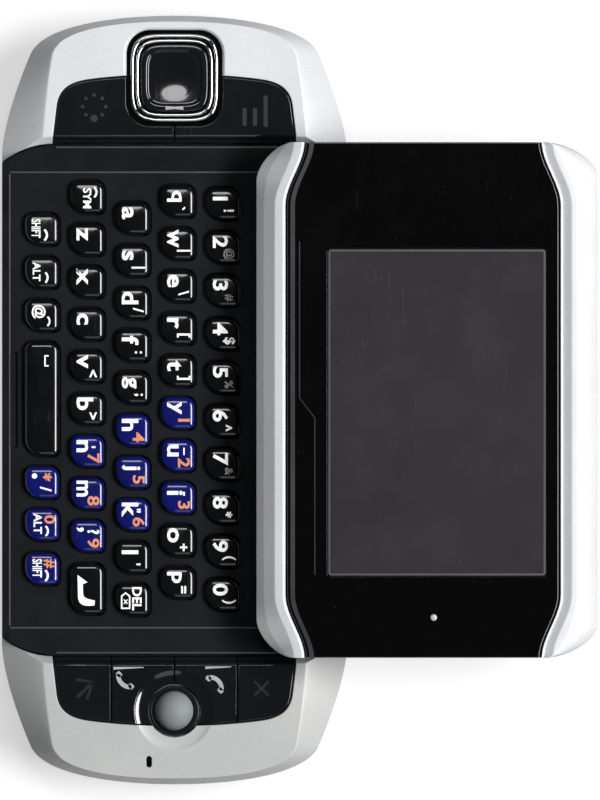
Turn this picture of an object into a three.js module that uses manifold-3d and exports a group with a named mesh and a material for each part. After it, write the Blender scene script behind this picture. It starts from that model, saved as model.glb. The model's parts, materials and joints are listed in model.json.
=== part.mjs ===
// Swivel phone: a wide handset with a full keyboard between two end caps, and a display slab that
// turns half a turn about an upright pivot. It is shown open. Millimetres; X runs along the handset
// towards its right end, Y towards the hinge edge, Z up from the flat back face to the display.

import * as THREE from 'three';
import { mergeVertices } from 'three/addons/utils/BufferGeometryUtils.js';
import Module from 'manifold-3d';

const wasm = await Module();
wasm.setup();

// Handset body
const bodyLength = 130;
const bodyWidth = 58.4;
const partingHeight = 8.6;
const capEdgeHeight = 10.9;
const capFaceHeight = 13;
const capBevelSide = 7;
const capBevelEnd = 1;
const backRound = 2.8;
const housingWall = 1.6;
const housingFloor = 2.4;
const capLength = 20.5;

// Outline of a quarter of the body, as shares of its half length and half width: first the shallow
// end arc with its corner, then the long taper of the side
const endArcShares = [[1, 0], [1, 0.299], [0.981, 0.731], [0.907, 0.827]];
const sideArcShares = [[0.907, 0.827], [0.901, 0.835], [0.7315, 1], [0.631, 1]];

// Crown of the cap from its outer wall to its flat face, as shares of the bevel's width and rise
const crownShares = [[0, 0], [0.1, 0.42], [0.4, 0.82], [1, 1]];

// Well for the keyboard between the caps
const wellWallRun = 1.2;
const wellFootHeight = 11.4;
const wellCornerRadius = 14;
const wellCornerReach = 5.2;

// Fits
const overrun = 1;
const fitGap = 0.3;
const keyGap = 0.25;
const runningGap = 0.1;
const seatGap = 0.05;
const leastRadius = 0.05;

// Keyboard deck
const deckHeight = 10.5;
const deckPlate = 1.2;
const deckRampHeight = 11.6;
const deckRampRun = 4.5;
const deckLipWidth = 1;
const deckLipDrop = 0.4;
const slotLength = 16.3;
const slotWidth = 1.1;
const slotDepth = 0.5;
const slotEdgeDistance = 2.1;

// Keyboard: ten keys to a row, with their places along it as shares of its pitch, and each key's
// four corner radii as shares of its shorter side
const keysPerRow = 10;
const rowCount = 5;
const keyFieldMargin = 6.3;
const rowSlack = 2.4;
const digitSlack = 0.6;
const bottomSlack = 1.8;
const keySpace = 1.81;
const rowSpace = 1.95;
const firstRowDistance = 21;
const lastRowDistance = 6.8;
const keyTopHeight = 12;
const keyCrown = 0.35;
const keyTravel = 0.4;
const keyDropGap = 0.2;
const letterCornerShares = [0.46, 0.1, 0.28, 0.15];
const digitCornerShares = [0.46, 0.1, 0.42, 0.15];
const spaceTrim = 0.47;
const enterExtra = 3.15;
const digitStartShare = -4.52;
const topStartShare = -4.69;
const homeStartShare = -4.29;
const lowStartShare = -4.79;
const enterShare = 4.455;
const bottomShares = [-4, -2.99, -1.98, -0.03, 1.93, 2.92, 3.95];
const matThickness = 0.7;
const matMargin = 1.6;

// Key pads in the caps' faces: outline as shares of the field's depth and half width
const fieldDepth = 11.6;
const fieldSideMargin = 8.8;
const fieldFrontShares = [[1, 0], [0.985, 0.4], [0.92, 0.69]];
const fieldCornerShares = [[0.92, 0.69], [0.885, 0.85], [0.8, 0.95], [0.53, 0.965]];
const fieldSideShare = 1;
const facePadThickness = 1.6;
const facePadProud = 0.1;
const facePadTravel = 0.4;
const facePadSeam = 0.3;
const outerPadSeam = 10.65;

// Direction pad in the left cap
const padEndDistance = 10.6;
const padRecessSize = 16.2;
const padRecessRadius = 4;
const padRecessDepth = 2.4;
const padOuterSize = 14.8;
const padOuterRadius = 3.7;
const padBand = 0.55;
const padProud = 0.3;
const padRockerDrop = 0.7;
const padCrease = 0.55;
const padDishStep = 0.5;
const padDishDepth = 0.2;
const padDishReach = 4;
const padDishFall = 0.75;

// Trackball in the right cap
const ballEndDistance = 12.5;
const ballRadius = 3.5;
const ballProud = 0.5;
const dishRadius = 6.75;
const dishDepth = 0.7;
const ballRingRadius = 4.2;
const ballRingDepth = 2.4;
const ballRingRound = 0.25;
const ballLipRadius = 3.4;
const ballLipDepth = 1.7;
const ballSocketRadius = 3.9;
const micLength = 1.9;
const micWidth = 0.9;
const micDepth = 1;
const micEndDistance = 3.9;
const micOffset = 4.3;

// Display slab
const displayThickness = 7.9;
const displayLift = 1.1;
const displaySideGap = 0.45;
const displayEndGap = 1.1;
const displaySplit = 4.3;
const displayFloor = 1.8;
const displayWall = 1.4;
const displayBackRound = 1.2;
const lowerCornerLength = 5.3;
const lowerCornerRise = 6.1;
const upperCornerLength = 4.2;
const upperCornerRise = 8.3;
const cornerPower = 1.4;
const railGap = 0.3;
const lowerRailWidth = 4.9;
const lowerRailSlope = 3.5;
const lowerRailDrop = 2.8;
const upperRailWidth = 6.3;
const upperRailSlope = 4.4;
const upperRailDrop = 2.4;
const upperRailStep = 0.4;
const railFlareLength = 10.6;
const railFlareRise = 3.2;
const bezelDrop = 0.3;
const screenSideMargin = 15.95;
const screenAcrossMargin = 10.45;
const screenRight = 2.1;
const screenUp = 1.65;
const windowThickness = 1;
const windowInset = 0.1;
const windowLedge = 0.8;
const ledgeThickness = 0.8;
const panelThickness = 2;
const panelMargin = 1.4;
const panelGap = 0.3;
const lightRadius = 0.65;
const lightDepth = 0.5;
const lightRight = 36.6;
const lightUp = 1.1;

// Swivel
const hingeEdgeDistance = 7.9;
const shaftRadius = 3.2;
const shaftBore = 1.8;
const collarRadius = 5.4;
const collarHeight = 13;
const flangeRadius = 5.6;
const flangeGap = 0.3;
const flangeSeat = 0.9;
const hingePlateLength = 36;
const hingePlateWidth = 12.6;
const hingePlateThickness = 1;
const hingePlateBackReach = 5.8;
const washerRadius = 4.8;
const washerThickness = 0.8;
const rivetRadius = 3.9;
const rivetThickness = 0.3;

// Inside and back of the handset
const batteryLength = 57.4;
const batteryWidth = 37.4;
const batteryThickness = 5.2;
const coverMargin = 2.4;
const coverThickness = 1.2;
const coverRadius = 4;
const batteryRadius = 1.5;
const bayWall = 1;
const boardThickness = 1;
const boardEndGap = 9;
const boardSideGap = 7.2;
const boardRadius = 3;
const boardHingeRadius = 7;
const boardGap = 0.3;
const postRadius = 1.6;
const postInset = 5;
const cameraRadius = 4.6;
const cameraDepth = 4;
const cameraLensRadius = 2.4;
const cameraLensDepth = 0.7;
const cameraEndDistance = 16;
const cameraOffset = 9;
const speakerSlotLength = 9;
const speakerSlotWidth = 1;
const speakerSlotPitch = 2.4;
const speakerSlotCount = 5;
const speakerEndDistance = 17;
const socketLength = 7.4;
const socketHeight = 2.8;
const socketDepth = 6;
const socketWall = 0.35;
const socketTongue = 0.7;
const socketInset = 0.6;
const jackRadius = 1.8;
const jackOffset = 10;

// Buttons in the long edges
const edgeKeyHeight = 5;
const edgeKeyTall = 2.8;
const edgeKeyLength = 9;
const rockerLength = 14;
const edgeKeyRadius = 1.2;
const edgeKeyFlange = 0.8;
const edgeKeyLip = 0.7;
const edgeKeyInset = 7;

// Steps in curves
const arcSteps = 6;
const roundSteps = 3;
const cornerSteps = 6;
const cornerChord = 1.2;
const roundSegments = 40;
const hingeSegments = 24;
const smallSegments = 14;
const ballSegments = 20;
const ballRings = 12;

// Heights and places that follow from the sizes above
const wellHalfLength = bodyLength / 2 - capLength - wellWallRun;
const keyFieldLength = (wellHalfLength - keyFieldMargin) * 2;
const keyPitch = (keyFieldLength - rowSlack) / keysPerRow;
const digitPitch = (keyFieldLength - digitSlack) / keysPerRow;
const bottomPitch = (keyFieldLength - bottomSlack) / keysPerRow;
const keyLength = keyPitch - keySpace;
const firstRowY = bodyWidth / 2 - firstRowDistance;
const rowPitch = (firstRowY - lastRowDistance + bodyWidth / 2) / (rowCount - 1);
const keyWidth = rowPitch - rowSpace;
const spaceLength = keyLength + keyPitch * 2 - spaceTrim;
const enterLength = keyLength + enterExtra;
const fieldHalfWidth = bodyWidth / 2 - fieldSideMargin;
const hingeOffset = bodyWidth / 2 - hingeEdgeDistance;
const displayWidth = bodyWidth - displaySideGap * 2;
const boardLength = bodyLength - boardEndGap * 2;
const boardWidth = bodyWidth - boardSideGap * 2;
const edgeKeyPlace = (bodyLength / 2) * sideArcShares.at(-1)[0] - edgeKeyInset;
const deckHalfLength = wellHalfLength - fitGap;
const deckUnderside = deckHeight - deckPlate;
const matTop = deckUnderside - fitGap;
const matBottom = matTop - matThickness;
const boardTop = matBottom - boardGap;
const boardBottom = boardTop - boardThickness;
const keyBottom = matTop + keyTravel + keyDropGap;
const facePadTop = capFaceHeight + facePadProud;
const facePadBottom = facePadTop - facePadThickness;
const facePocketFloor = facePadBottom - facePadTravel - keyDropGap;
const padCentreX = padEndDistance - bodyLength / 2;
const padRecessFloor = capFaceHeight - padRecessDepth;
const ballCentreX = bodyLength / 2 - ballEndDistance;
const ballRingFloor = capFaceHeight - ballRingDepth;
const displayFoot = capFaceHeight + displayLift;
const displayCentreY = hingeOffset * 2;
const displayHalfLength = bodyLength / 2 - capLength - displayEndGap;
const displayHalfWidth = displayWidth / 2;
const screenLength = (displayHalfLength - screenSideMargin) * 2;
const screenWidth = (displayHalfWidth - screenAcrossMargin) * 2;
const bezelTop = displayThickness - bezelDrop;
const quarterTurn = Math.PI / 2;

// Solids from three.js geometry

function solid(geometry) {
  const bare = geometry.clone();
  bare.deleteAttribute('normal');
  bare.deleteAttribute('uv');
  const welded = mergeVertices(bare);
  const vertProperties = Float32Array.from(welded.attributes.position.array);
  const triVerts = Uint32Array.from(welded.index.array);
  return new wasm.Manifold(new wasm.Mesh({ numProp: 3, vertProperties, triVerts }));
}

function mesh(name, shape, finish) {
  const { vertProperties, triVerts } = shape.getMesh();
  const geometry = new THREE.BufferGeometry();
  geometry.setAttribute('position', new THREE.BufferAttribute(vertProperties, 3));
  geometry.setIndex(new THREE.BufferAttribute(triVerts, 1));
  geometry.computeVertexNormals();
  const material = new THREE.MeshStandardMaterial({ ...finish, flatShading: true });
  const piece = new THREE.Mesh(geometry, material);
  piece.name = name;
  return piece;
}

function prismGeometry(outline, low, high) {
  const shape = new THREE.Shape(outline);
  const geometry = new THREE.ExtrudeGeometry(shape, { depth: high - low, bevelEnabled: false });
  return geometry.translate(0, 0, low);
}

function prism(outline, low, high) {
  return solid(prismGeometry(outline, low, high));
}

// A closed skin over convex sections that all have the same number of points
function skin(sections) {
  const count = sections[0].length;
  const indices = [];
  for (let layer = 0; layer + 1 < sections.length; layer += 1) {
    for (let side = 0; side < count; side += 1) {
      const near = layer * count + side;
      const next = layer * count + ((side + 1) % count);
      indices.push(near, next, next + count, near, next + count, near + count);
    }
  }
  const last = (sections.length - 1) * count;
  for (let side = 1; side + 1 < count; side += 1) {
    indices.push(0, side + 1, side);
    indices.push(last, last + side, last + side + 1);
  }
  const geometry = new THREE.BufferGeometry().setFromPoints(sections.flat());
  geometry.setIndex(indices);
  return solid(geometry);
}

function loft(layers) {
  return skin(layers.map(([outline, z]) => outline.map((point) => new THREE.Vector3(point.x, point.y, z))));
}

function lathe(profile, segments = roundSegments) {
  const points = profile.map(([radius, z]) => new THREE.Vector2(radius, z));
  return new THREE.LatheGeometry(points, segments).rotateX(quarterTurn);
}

// Outlines, all anticlockwise seen from above

function circle(x, y, radius, segments = roundSegments) {
  const points = [];
  for (let step = 0; step < segments; step += 1) {
    const angle = (step / segments) * Math.PI * 2;
    points.push(new THREE.Vector2(x + radius * Math.cos(angle), y + radius * Math.sin(angle)));
  }
  return points;
}

// A rectangle with four corner radii: right front, right back, left back, left front
function rounded({ x = 0, y = 0, length, width, radii, grow = 0 }) {
  const halfLength = length / 2 + grow;
  const halfWidth = width / 2 + grow;
  const signs = [[1, -1], [1, 1], [-1, 1], [-1, -1]];
  return signs.flatMap(([alongSign, acrossSign], corner) => {
    const steps = Math.max(1, Math.round((radii[corner] * quarterTurn) / cornerChord));
    const radius = Math.max(radii[corner] + grow, leastRadius);
    const centreX = x + alongSign * (halfLength - radius);
    const centreY = y + acrossSign * (halfWidth - radius);
    return Array.from({ length: steps + 1 }, (unused, step) => {
      const angle = (corner - 1 + step / steps) * quarterTurn;
      return new THREE.Vector2(centreX + radius * Math.cos(angle), centreY + radius * Math.sin(angle));
    });
  });
}

function roundedAlike(x, y, length, width, radius, grow = 0) {
  return rounded({ x, y, length, width, radii: [radius, radius, radius, radius], grow });
}

// Moves each point of an outline outwards, so that its sides shift by the distance
function offset(outline, distance) {
  return outline.map((point, index) => {
    const before = outline.at(index - 1);
    const after = outline[(index + 1) % outline.length];
    const arriving = point.clone().sub(before).normalize();
    const leaving = after.clone().sub(point).normalize();
    const bisector = new THREE.Vector2(arriving.y + leaving.y, -arriving.x - leaving.x).normalize();
    const cosine = bisector.x * leaving.y - bisector.y * leaving.x;
    return point.clone().addScaledVector(bisector, distance / cosine);
  });
}

function mirrored(outline, alongSign, acrossSign) {
  return outline.map((point) => new THREE.Vector2(point.x * alongSign, point.y * acrossSign)).reverse();
}

function bodyOutline(endInset, sideInset) {
  const halfLength = bodyLength / 2 - endInset;
  const halfWidth = bodyWidth / 2 - sideInset;
  const place = ([alongShare, acrossShare]) => new THREE.Vector2(
    halfLength * alongShare,
    halfWidth * acrossShare,
  );
  const endArc = new THREE.CubicBezierCurve(...endArcShares.map(place));
  const sideArc = new THREE.CubicBezierCurve(...sideArcShares.map(place));
  const quarter = [...endArc.getPoints(arcSteps), ...sideArc.getPoints(arcSteps).slice(1)];
  const upper = [...quarter, ...mirrored(quarter, -1, 1)];
  return [...upper, ...mirrored(upper, 1, -1).slice(1, -1)];
}

function wellOutline(halfLength) {
  const width = bodyWidth + wellCornerReach * 2;
  return roundedAlike(0, 0, halfLength * 2, width, wellCornerRadius);
}

// Half of the space on one side of the middle, as a block to cut with
function halfBlock(side) {
  const reach = bodyLength + overrun;
  const outline = roundedAlike((side * reach) / 2, 0, reach, bodyWidth + overrun, overrun);
  return prism(outline, -overrun, capFaceHeight + overrun);
}

function wellCutter() {
  const top = capFaceHeight + overrun;
  const rise = (top - wellFootHeight) / (capFaceHeight - wellFootHeight);
  const foot = wellOutline(wellHalfLength);
  const mouth = wellOutline(wellHalfLength + wellWallRun * rise);
  return loft([[foot, partingHeight - overrun], [foot, wellFootHeight], [mouth, top]]);
}

// Keyboard layout

const keyRadii = (shares) => shares.map((share) => Math.min(keyLength, keyWidth) * share);
const letterRadii = keyRadii(letterCornerShares);
const digitRadii = keyRadii(digitCornerShares);

function keyRow(names, row, startShare, pitch, radii = letterRadii) {
  const y = firstRowY - row * rowPitch;
  return names.map((name, index) => ({
    name,
    x: (startShare + index) * pitch,
    y,
    length: keyLength,
    radii,
  }));
}

const digitKeys = keyRow([...'1234567890'], 0, digitStartShare, digitPitch, digitRadii);
const topKeys = keyRow([...'qwertyuiop'], 1, topStartShare, keyPitch);
const homeKeys = keyRow([...'asdfghjkl', 'delete'], 2, homeStartShare, keyPitch);
const lowKeys = keyRow(['symbol', ...'zxcvbnm', 'comma'], 3, lowStartShare, keyPitch);
const enterKey = { ...lowKeys[0], name: 'enter', x: enterShare * keyPitch, length: enterLength };
const bottomNames = ['left_shift', 'left_alt', 'at', 'space', 'period', 'right_alt', 'right_shift'];
const bottomKeys = bottomNames.map((name, index) => ({
  ...lowKeys[0],
  name,
  x: bottomShares[index] * bottomPitch,
  y: firstRowY - (rowCount - 1) * rowPitch,
  length: name === 'space' ? spaceLength : keyLength,
}));
const allKeys = [...digitKeys, ...topKeys, ...homeKeys, ...lowKeys, enterKey, ...bottomKeys];
const letterKeys = allKeys.filter(({ name }) => /^[a-z]$/.test(name));
const matKeys = allKeys.filter((key) => !letterKeys.includes(key));

function keyOutline({ x, y, length, radii }, grow = 0) {
  return rounded({ x, y, length, width: keyWidth, radii, grow });
}

function keyCap(key, low, high) {
  return loft([
    [keyOutline(key), low],
    [keyOutline(key), high - keyCrown],
    [keyOutline(key, -keyCrown), high],
  ]);
}

// Handset housing

function edgeKeySpots() {
  const edge = bodyWidth / 2;
  return [
    { name: 'left_shoulder_button', x: -edgeKeyPlace, y: edge, length: edgeKeyLength },
    { name: 'right_shoulder_button', x: edgeKeyPlace, y: edge, length: edgeKeyLength },
    { name: 'volume_rocker', x: -edgeKeyPlace, y: -edge, length: rockerLength },
    { name: 'power_button', x: edgeKeyPlace, y: -edge, length: edgeKeyLength },
  ];
}

function edgeWindow({ x, y, length }) {
  const outline = roundedAlike(0, 0, length, edgeKeyTall, edgeKeyRadius, keyGap);
  const cutter = prismGeometry(outline, -housingWall - overrun, overrun);
  return solid(cutter.rotateX(-Math.sign(y) * quarterTurn).translate(x, y, edgeKeyHeight));
}

function housingShell() {
  const layers = Array.from({ length: roundSteps + 1 }, (unused, step) => {
    const angle = (step / roundSteps) * quarterTurn;
    const inset = backRound * (1 - Math.sin(angle));
    return [bodyOutline(inset, inset), backRound * (1 - Math.cos(angle))];
  });
  const block = loft([...layers, [bodyOutline(0, 0), partingHeight]]);
  const hollow = prism(bodyOutline(housingWall, housingWall), housingFloor, partingHeight + overrun);
  return block.subtract(hollow);
}

function batteryBay(shell) {
  const frameGrow = fitGap + bayWall;
  const bayTop = coverThickness + batteryThickness;
  const frame = roundedAlike(0, 0, batteryLength, batteryWidth, batteryRadius, frameGrow);
  const bay = roundedAlike(0, 0, batteryLength, batteryWidth, batteryRadius, fitGap);
  const recess = roundedAlike(0, 0, batteryLength, batteryWidth, coverRadius, coverMargin + fitGap);
  return shell
    .add(prism(frame, coverThickness, bayTop))
    .subtract(prism(bay, -overrun, bayTop + overrun))
    .subtract(prism(recess, -overrun, coverThickness));
}

function boardPosts() {
  const x = boardLength / 2 - postInset;
  const y = boardWidth / 2 - postInset;
  const places = [[x, y], [-x, y], [-x, -y], [x, -y]];
  return places.map(([postX, postY]) => {
    const outline = circle(postX, postY, postRadius, smallSegments);
    return prism(outline, coverThickness, boardBottom);
  });
}

function speakerSlots() {
  const start = bodyLength / 2 - speakerEndDistance - (speakerSlotPitch * (speakerSlotCount - 1)) / 2;
  return Array.from({ length: speakerSlotCount }, (unused, index) => {
    const x = start + index * speakerSlotPitch;
    const outline = roundedAlike(x, 0, speakerSlotWidth, speakerSlotLength, speakerSlotWidth / 2);
    return prism(outline, -overrun, housingFloor + overrun);
  });
}

function socketOpening() {
  const outline = roundedAlike(0, 0, socketHeight, socketLength, socketWall, keyGap);
  const depth = housingWall + backRound;
  return solid(prismGeometry(outline, -depth, overrun)
    .rotateY(-quarterTurn)
    .translate(-bodyLength / 2, 0, edgeKeyHeight));
}

function jackOpening() {
  const depth = housingWall + backRound;
  return solid(prismGeometry(circle(0, 0, jackRadius, smallSegments), -depth, overrun)
    .rotateY(quarterTurn)
    .translate(bodyLength / 2, jackOffset, edgeKeyHeight));
}

function rearHousing() {
  const cameraX = cameraEndDistance - bodyLength / 2;
  const cameraSeat = circle(cameraX, cameraOffset, cameraRadius + fitGap);
  let housing = batteryBay(housingShell());
  boardPosts().forEach((post) => { housing = housing.add(post); });
  const cuts = [
    ...edgeKeySpots().map(edgeWindow),
    ...speakerSlots(),
    socketOpening(),
    jackOpening(),
    prism(cameraSeat, -overrun, housingFloor + overrun),
  ];
  cuts.forEach((cut) => { housing = housing.subtract(cut); });
  return housing;
}

function batteryCover() {
  const rim = roundedAlike(0, 0, batteryLength, batteryWidth, coverRadius, coverMargin);
  return prism(rim, 0, coverThickness);
}

function battery() {
  const low = coverThickness + fitGap;
  const block = roundedAlike(0, 0, batteryLength, batteryWidth, batteryRadius);
  return prism(block, low, low + batteryThickness);
}

function mainBoard() {
  const outline = roundedAlike(0, 0, boardLength, boardWidth, boardRadius);
  const top = boardTop + overrun;
  return prism(outline, boardBottom, boardTop)
    .subtract(prism(circle(0, hingeOffset, boardHingeRadius, hingeSegments), boardBottom - overrun, top))
    .subtract(prism(circle(ballCentreX, 0, ballSocketRadius, hingeSegments), boardBottom - overrun, top));
}

function cameraModule() {
  const radius = cameraRadius;
  const lens = cameraLensRadius;
  return solid(lathe([
    [0, cameraLensDepth],
    [lens, cameraLensDepth],
    [lens + cameraLensDepth, 0],
    [radius, 0],
    [radius, cameraDepth],
    [0, cameraDepth],
  ]));
}

function socketShell() {
  const outer = roundedAlike(0, 0, socketHeight, socketLength, socketWall);
  const inner = roundedAlike(0, 0, socketHeight, socketLength, socketWall / 2, -socketWall);
  const tongue = roundedAlike(0, 0, socketTongue, socketLength / 2, socketWall / 2);
  const floor = -socketDepth + socketWall;
  return prism(outer, -socketDepth, 0)
    .subtract(prism(inner, floor, overrun))
    .add(prism(tongue, -socketDepth, -overrun));
}

// Keyboard deck and mat

function deckProfile() {
  const crease = deckHalfLength - deckRampRun;
  return [
    new THREE.Vector2(-deckHalfLength, partingHeight),
    new THREE.Vector2(deckHalfLength, partingHeight),
    new THREE.Vector2(deckHalfLength, deckRampHeight),
    new THREE.Vector2(crease, deckHeight),
    new THREE.Vector2(-crease, deckHeight),
    new THREE.Vector2(-deckHalfLength, deckRampHeight),
  ];
}

function matArea(grow) {
  const xs = matKeys.map((key) => Math.abs(key.x) + key.length / 2);
  const halfLength = Math.max(...xs) + matMargin;
  const low = bottomKeys[0].y - keyWidth / 2 - matMargin / 2;
  const high = firstRowY + keyWidth / 2 + matMargin / 2;
  return roundedAlike(0, (low + high) / 2, halfLength * 2, high - low, matMargin, grow);
}

function hingePlateArea(grow) {
  const y = hingeOffset + hingePlateBackReach - hingePlateWidth / 2;
  return roundedAlike(0, y, hingePlateLength, hingePlateWidth, matMargin, grow);
}

function keyboardDeck() {
  const profile = prismGeometry(deckProfile(), -bodyWidth / 2, bodyWidth / 2).rotateX(quarterTurn);
  const top = deckRampHeight + overrun;
  const lipY = bodyWidth / 2 - deckLipWidth;
  const collarHole = circle(0, hingeOffset, collarRadius + fitGap, hingeSegments);
  const slot = roundedAlike(0, slotEdgeDistance - bodyWidth / 2, slotLength, slotWidth, slotWidth / 2);
  let deck = solid(profile)
    .intersect(prism(wellOutline(deckHalfLength), partingHeight - overrun, top))
    .intersect(prism(bodyOutline(0, 0), partingHeight - overrun, top))
    .subtract(prism(matArea(fitGap), partingHeight - overrun, deckUnderside))
    .subtract(prism(hingePlateArea(fitGap), partingHeight - overrun, deckUnderside))
    .subtract(prism(collarHole, partingHeight - overrun, top))
    .subtract(prism(slot, deckHeight - slotDepth, top));
  [-1, 1].forEach((side) => {
    const strip = roundedAlike(0, side * (lipY + deckLipWidth), bodyLength, deckLipWidth * 2, seatGap);
    deck = deck.subtract(prism(strip, deckHeight - deckLipDrop, top));
  });
  allKeys.forEach((key) => {
    deck = deck.subtract(prism(keyOutline(key, keyGap), partingHeight, top));
  });
  return deck;
}

function keymat() {
  let mat = prism(matArea(0), matBottom, matTop);
  matKeys.forEach((key) => {
    mat = mat.add(keyCap(key, matBottom, keyTopHeight));
  });
  return mat;
}

// End caps

function fieldOutline(side) {
  const place = ([depthShare, widthShare]) => new THREE.Vector2(
    wellHalfLength + fieldDepth * depthShare,
    fieldHalfWidth * widthShare,
  );
  const front = new THREE.QuadraticBezierCurve(...fieldFrontShares.map(place));
  const corner = new THREE.CubicBezierCurve(...fieldCornerShares.map(place));
  const half = [...front.getPoints(roundSteps), ...corner.getPoints(arcSteps).slice(1)];
  half.push(place([0, fieldSideShare]));
  half.push(new THREE.Vector2(wellHalfLength - wellWallRun, fieldHalfWidth * fieldSideShare));
  const right = [...mirrored(half, 1, -1).slice(0, -1), ...half];
  return side > 0 ? right : mirrored(right, -1, 1);
}

function capBlock(side) {
  const layers = crownShares.map(([widthShare, riseShare]) => [
    bodyOutline(capBevelEnd * widthShare, capBevelSide * widthShare),
    capEdgeHeight + (capFaceHeight - capEdgeHeight) * riseShare,
  ]);
  const block = loft([[bodyOutline(0, 0), partingHeight], ...layers]);
  const pocket = prism(offset(fieldOutline(side), keyGap), facePocketFloor, capFaceHeight + overrun);
  return block.intersect(halfBlock(side)).subtract(wellCutter()).subtract(pocket);
}

function padRecess() {
  return roundedAlike(padCentreX, 0, padRecessSize, padRecessSize, padRecessRadius);
}

function leftCap() {
  return capBlock(-1).subtract(prism(padRecess(), padRecessFloor, capFaceHeight + overrun));
}

// The shallow dish round the ball, which runs from the cap's face into the pads beside it
function dishCutter() {
  const slope = (dishRadius - ballRingRadius) / dishDepth;
  const low = capFaceHeight - dishDepth;
  const high = capFaceHeight + facePadProud + overrun;
  const mouth = ballRingRadius + slope * (high - low);
  const profile = [[0, low], [ballRingRadius, low], [mouth, high], [0, high]];
  return solid(lathe(profile).translate(ballCentreX, 0, 0));
}

function ballRecess() {
  return circle(ballCentreX, 0, ballRingRadius + fitGap);
}

function rightCap() {
  const top = capFaceHeight + overrun;
  const micX = bodyLength / 2 - micEndDistance;
  const mic = roundedAlike(micX, -micOffset, micLength, micWidth, micWidth / 2);
  return capBlock(1)
    .subtract(dishCutter())
    .subtract(prism(ballRecess(), ballRingFloor, top))
    .subtract(prism(circle(ballCentreX, 0, ballSocketRadius, hingeSegments), partingHeight - overrun, top))
    .subtract(prism(mic, capFaceHeight - micDepth, top));
}

// One pad of a cap's key field, between two places across the field
function facePad(side, low, high, recess) {
  const reach = fieldHalfWidth + overrun;
  const from = Math.max(low, -reach);
  const to = Math.min(high, reach);
  const middle = (from + to) / 2;
  const band = roundedAlike(side * wellHalfLength, middle, bodyLength, to - from - facePadSeam, seatGap);
  const bandLow = facePadBottom - overrun;
  const bandHigh = facePadTop + overrun;
  return prism(fieldOutline(side), facePadBottom, facePadTop)
    .intersect(prism(band, bandLow, bandHigh))
    .subtract(prism(recess, bandLow, bandHigh))
    .subtract(dishCutter())
    .subtract(wellCutter());
}

// Direction pad, about its own centre, with its height above the recess floor

function squareBand(outerSize, outerRadius, band, low, high) {
  const outer = roundedAlike(0, 0, outerSize, outerSize, outerRadius);
  const inner = roundedAlike(0, 0, outerSize, outerSize, outerRadius, -band);
  return prism(outer, low, high).subtract(prism(inner, low - overrun, high + overrun));
}

const rockerInset = padBand + fitGap;
const padHeight = padRecessDepth + padProud;

function padTrim() {
  return squareBand(padOuterSize, padOuterRadius, padBand, 0, padHeight);
}

function padRing() {
  const size = padOuterSize - rockerInset * 2;
  return squareBand(size, padOuterRadius - rockerInset, padBand, padRockerDrop, padHeight);
}

function padCentre() {
  const inset = rockerInset + padBand + keyGap;
  const outline = (extra) => roundedAlike(0, 0, padOuterSize, padOuterSize, padOuterRadius, -inset - extra);
  const rim = padHeight - facePadProud;
  return loft([
    [outline(0), padRockerDrop],
    [outline(0), rim - padDishDepth],
    [outline(padCrease), rim],
    [outline(padCrease + padDishStep), rim - padDishDepth],
    [outline(padDishReach), rim - padDishFall],
  ]);
}

// Trackball and the ring round it

function trackballBezel() {
  const rim = capFaceHeight - dishDepth;
  return solid(lathe([
    [ballRingRadius, ballRingFloor],
    [ballRingRadius, rim - ballRingRound],
    [ballRingRadius - ballRingRound, rim],
    [ballLipRadius, capFaceHeight - ballLipDepth],
    [ballLipRadius + fitGap, ballRingFloor],
    [ballRingRadius, ballRingFloor],
  ]));
}

function trackball() {
  return solid(new THREE.SphereGeometry(ballRadius, ballSegments, ballRings));
}

// Display slab, about its own centre, with its height above its underside

// How far the slab's long edge has drawn in at a place along it, by a power curve at each corner
function edgeDrawIn(x, cornerLength, cornerRise) {
  const share = (Math.abs(x) - (displayHalfLength - cornerLength)) / cornerLength;
  if (share <= 0) {
    return 0;
  }
  const rest = Math.max(0, 1 - Math.min(1, share) ** cornerPower);
  return cornerRise * (1 - rest ** (1 / cornerPower));
}

function lowerEdge(x) {
  return edgeDrawIn(x, lowerCornerLength, lowerCornerRise) - displayHalfWidth;
}

function upperEdge(x) {
  return displayHalfWidth - edgeDrawIn(x, upperCornerLength, upperCornerRise);
}

// The rails' inner edges run straight and sweep over the bezel at both ends
function flare(x) {
  const share = (Math.abs(x) - (displayHalfLength - railFlareLength)) / railFlareLength;
  const held = Math.min(1, Math.max(0, share));
  return railFlareRise * held * held * (3 - held * 2);
}

function stations(length) {
  const start = displayHalfLength - length;
  const right = Array.from({ length: cornerSteps + 1 }, (unused, step) => (
    start + length * Math.sin((step / cornerSteps) * quarterTurn)
  ));
  return [...right.map((x) => -x).reverse(), ...right];
}

function displayOutline() {
  const lower = stations(lowerCornerLength).map((x) => new THREE.Vector2(x, lowerEdge(x)));
  const upper = stations(upperCornerLength).map((x) => new THREE.Vector2(x, upperEdge(x)));
  return [...lower, ...upper.reverse()];
}

function railStations() {
  const all = [...stations(railFlareLength), ...stations(lowerCornerLength)];
  return all.sort((first, second) => first - second).filter((x, index) => (
    index === 0 || x - all[index - 1] > seatGap
  ));
}

function lowerRail() {
  const low = displaySplit;
  const crest = displayThickness;
  return skin(railStations().map((x) => {
    const outer = lowerEdge(x);
    const inner = lowerRailWidth - displayHalfWidth + flare(x);
    const slope = Math.min(lowerRailSlope - displayHalfWidth + flare(x), inner - seatGap);
    const held = Math.max(slope, outer + (inner - outer) / 2);
    return [
      new THREE.Vector3(x, outer, low),
      new THREE.Vector3(x, inner, low),
      new THREE.Vector3(x, inner, crest),
      new THREE.Vector3(x, held, crest),
      new THREE.Vector3(x, outer, crest - lowerRailDrop),
    ];
  }));
}

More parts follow.
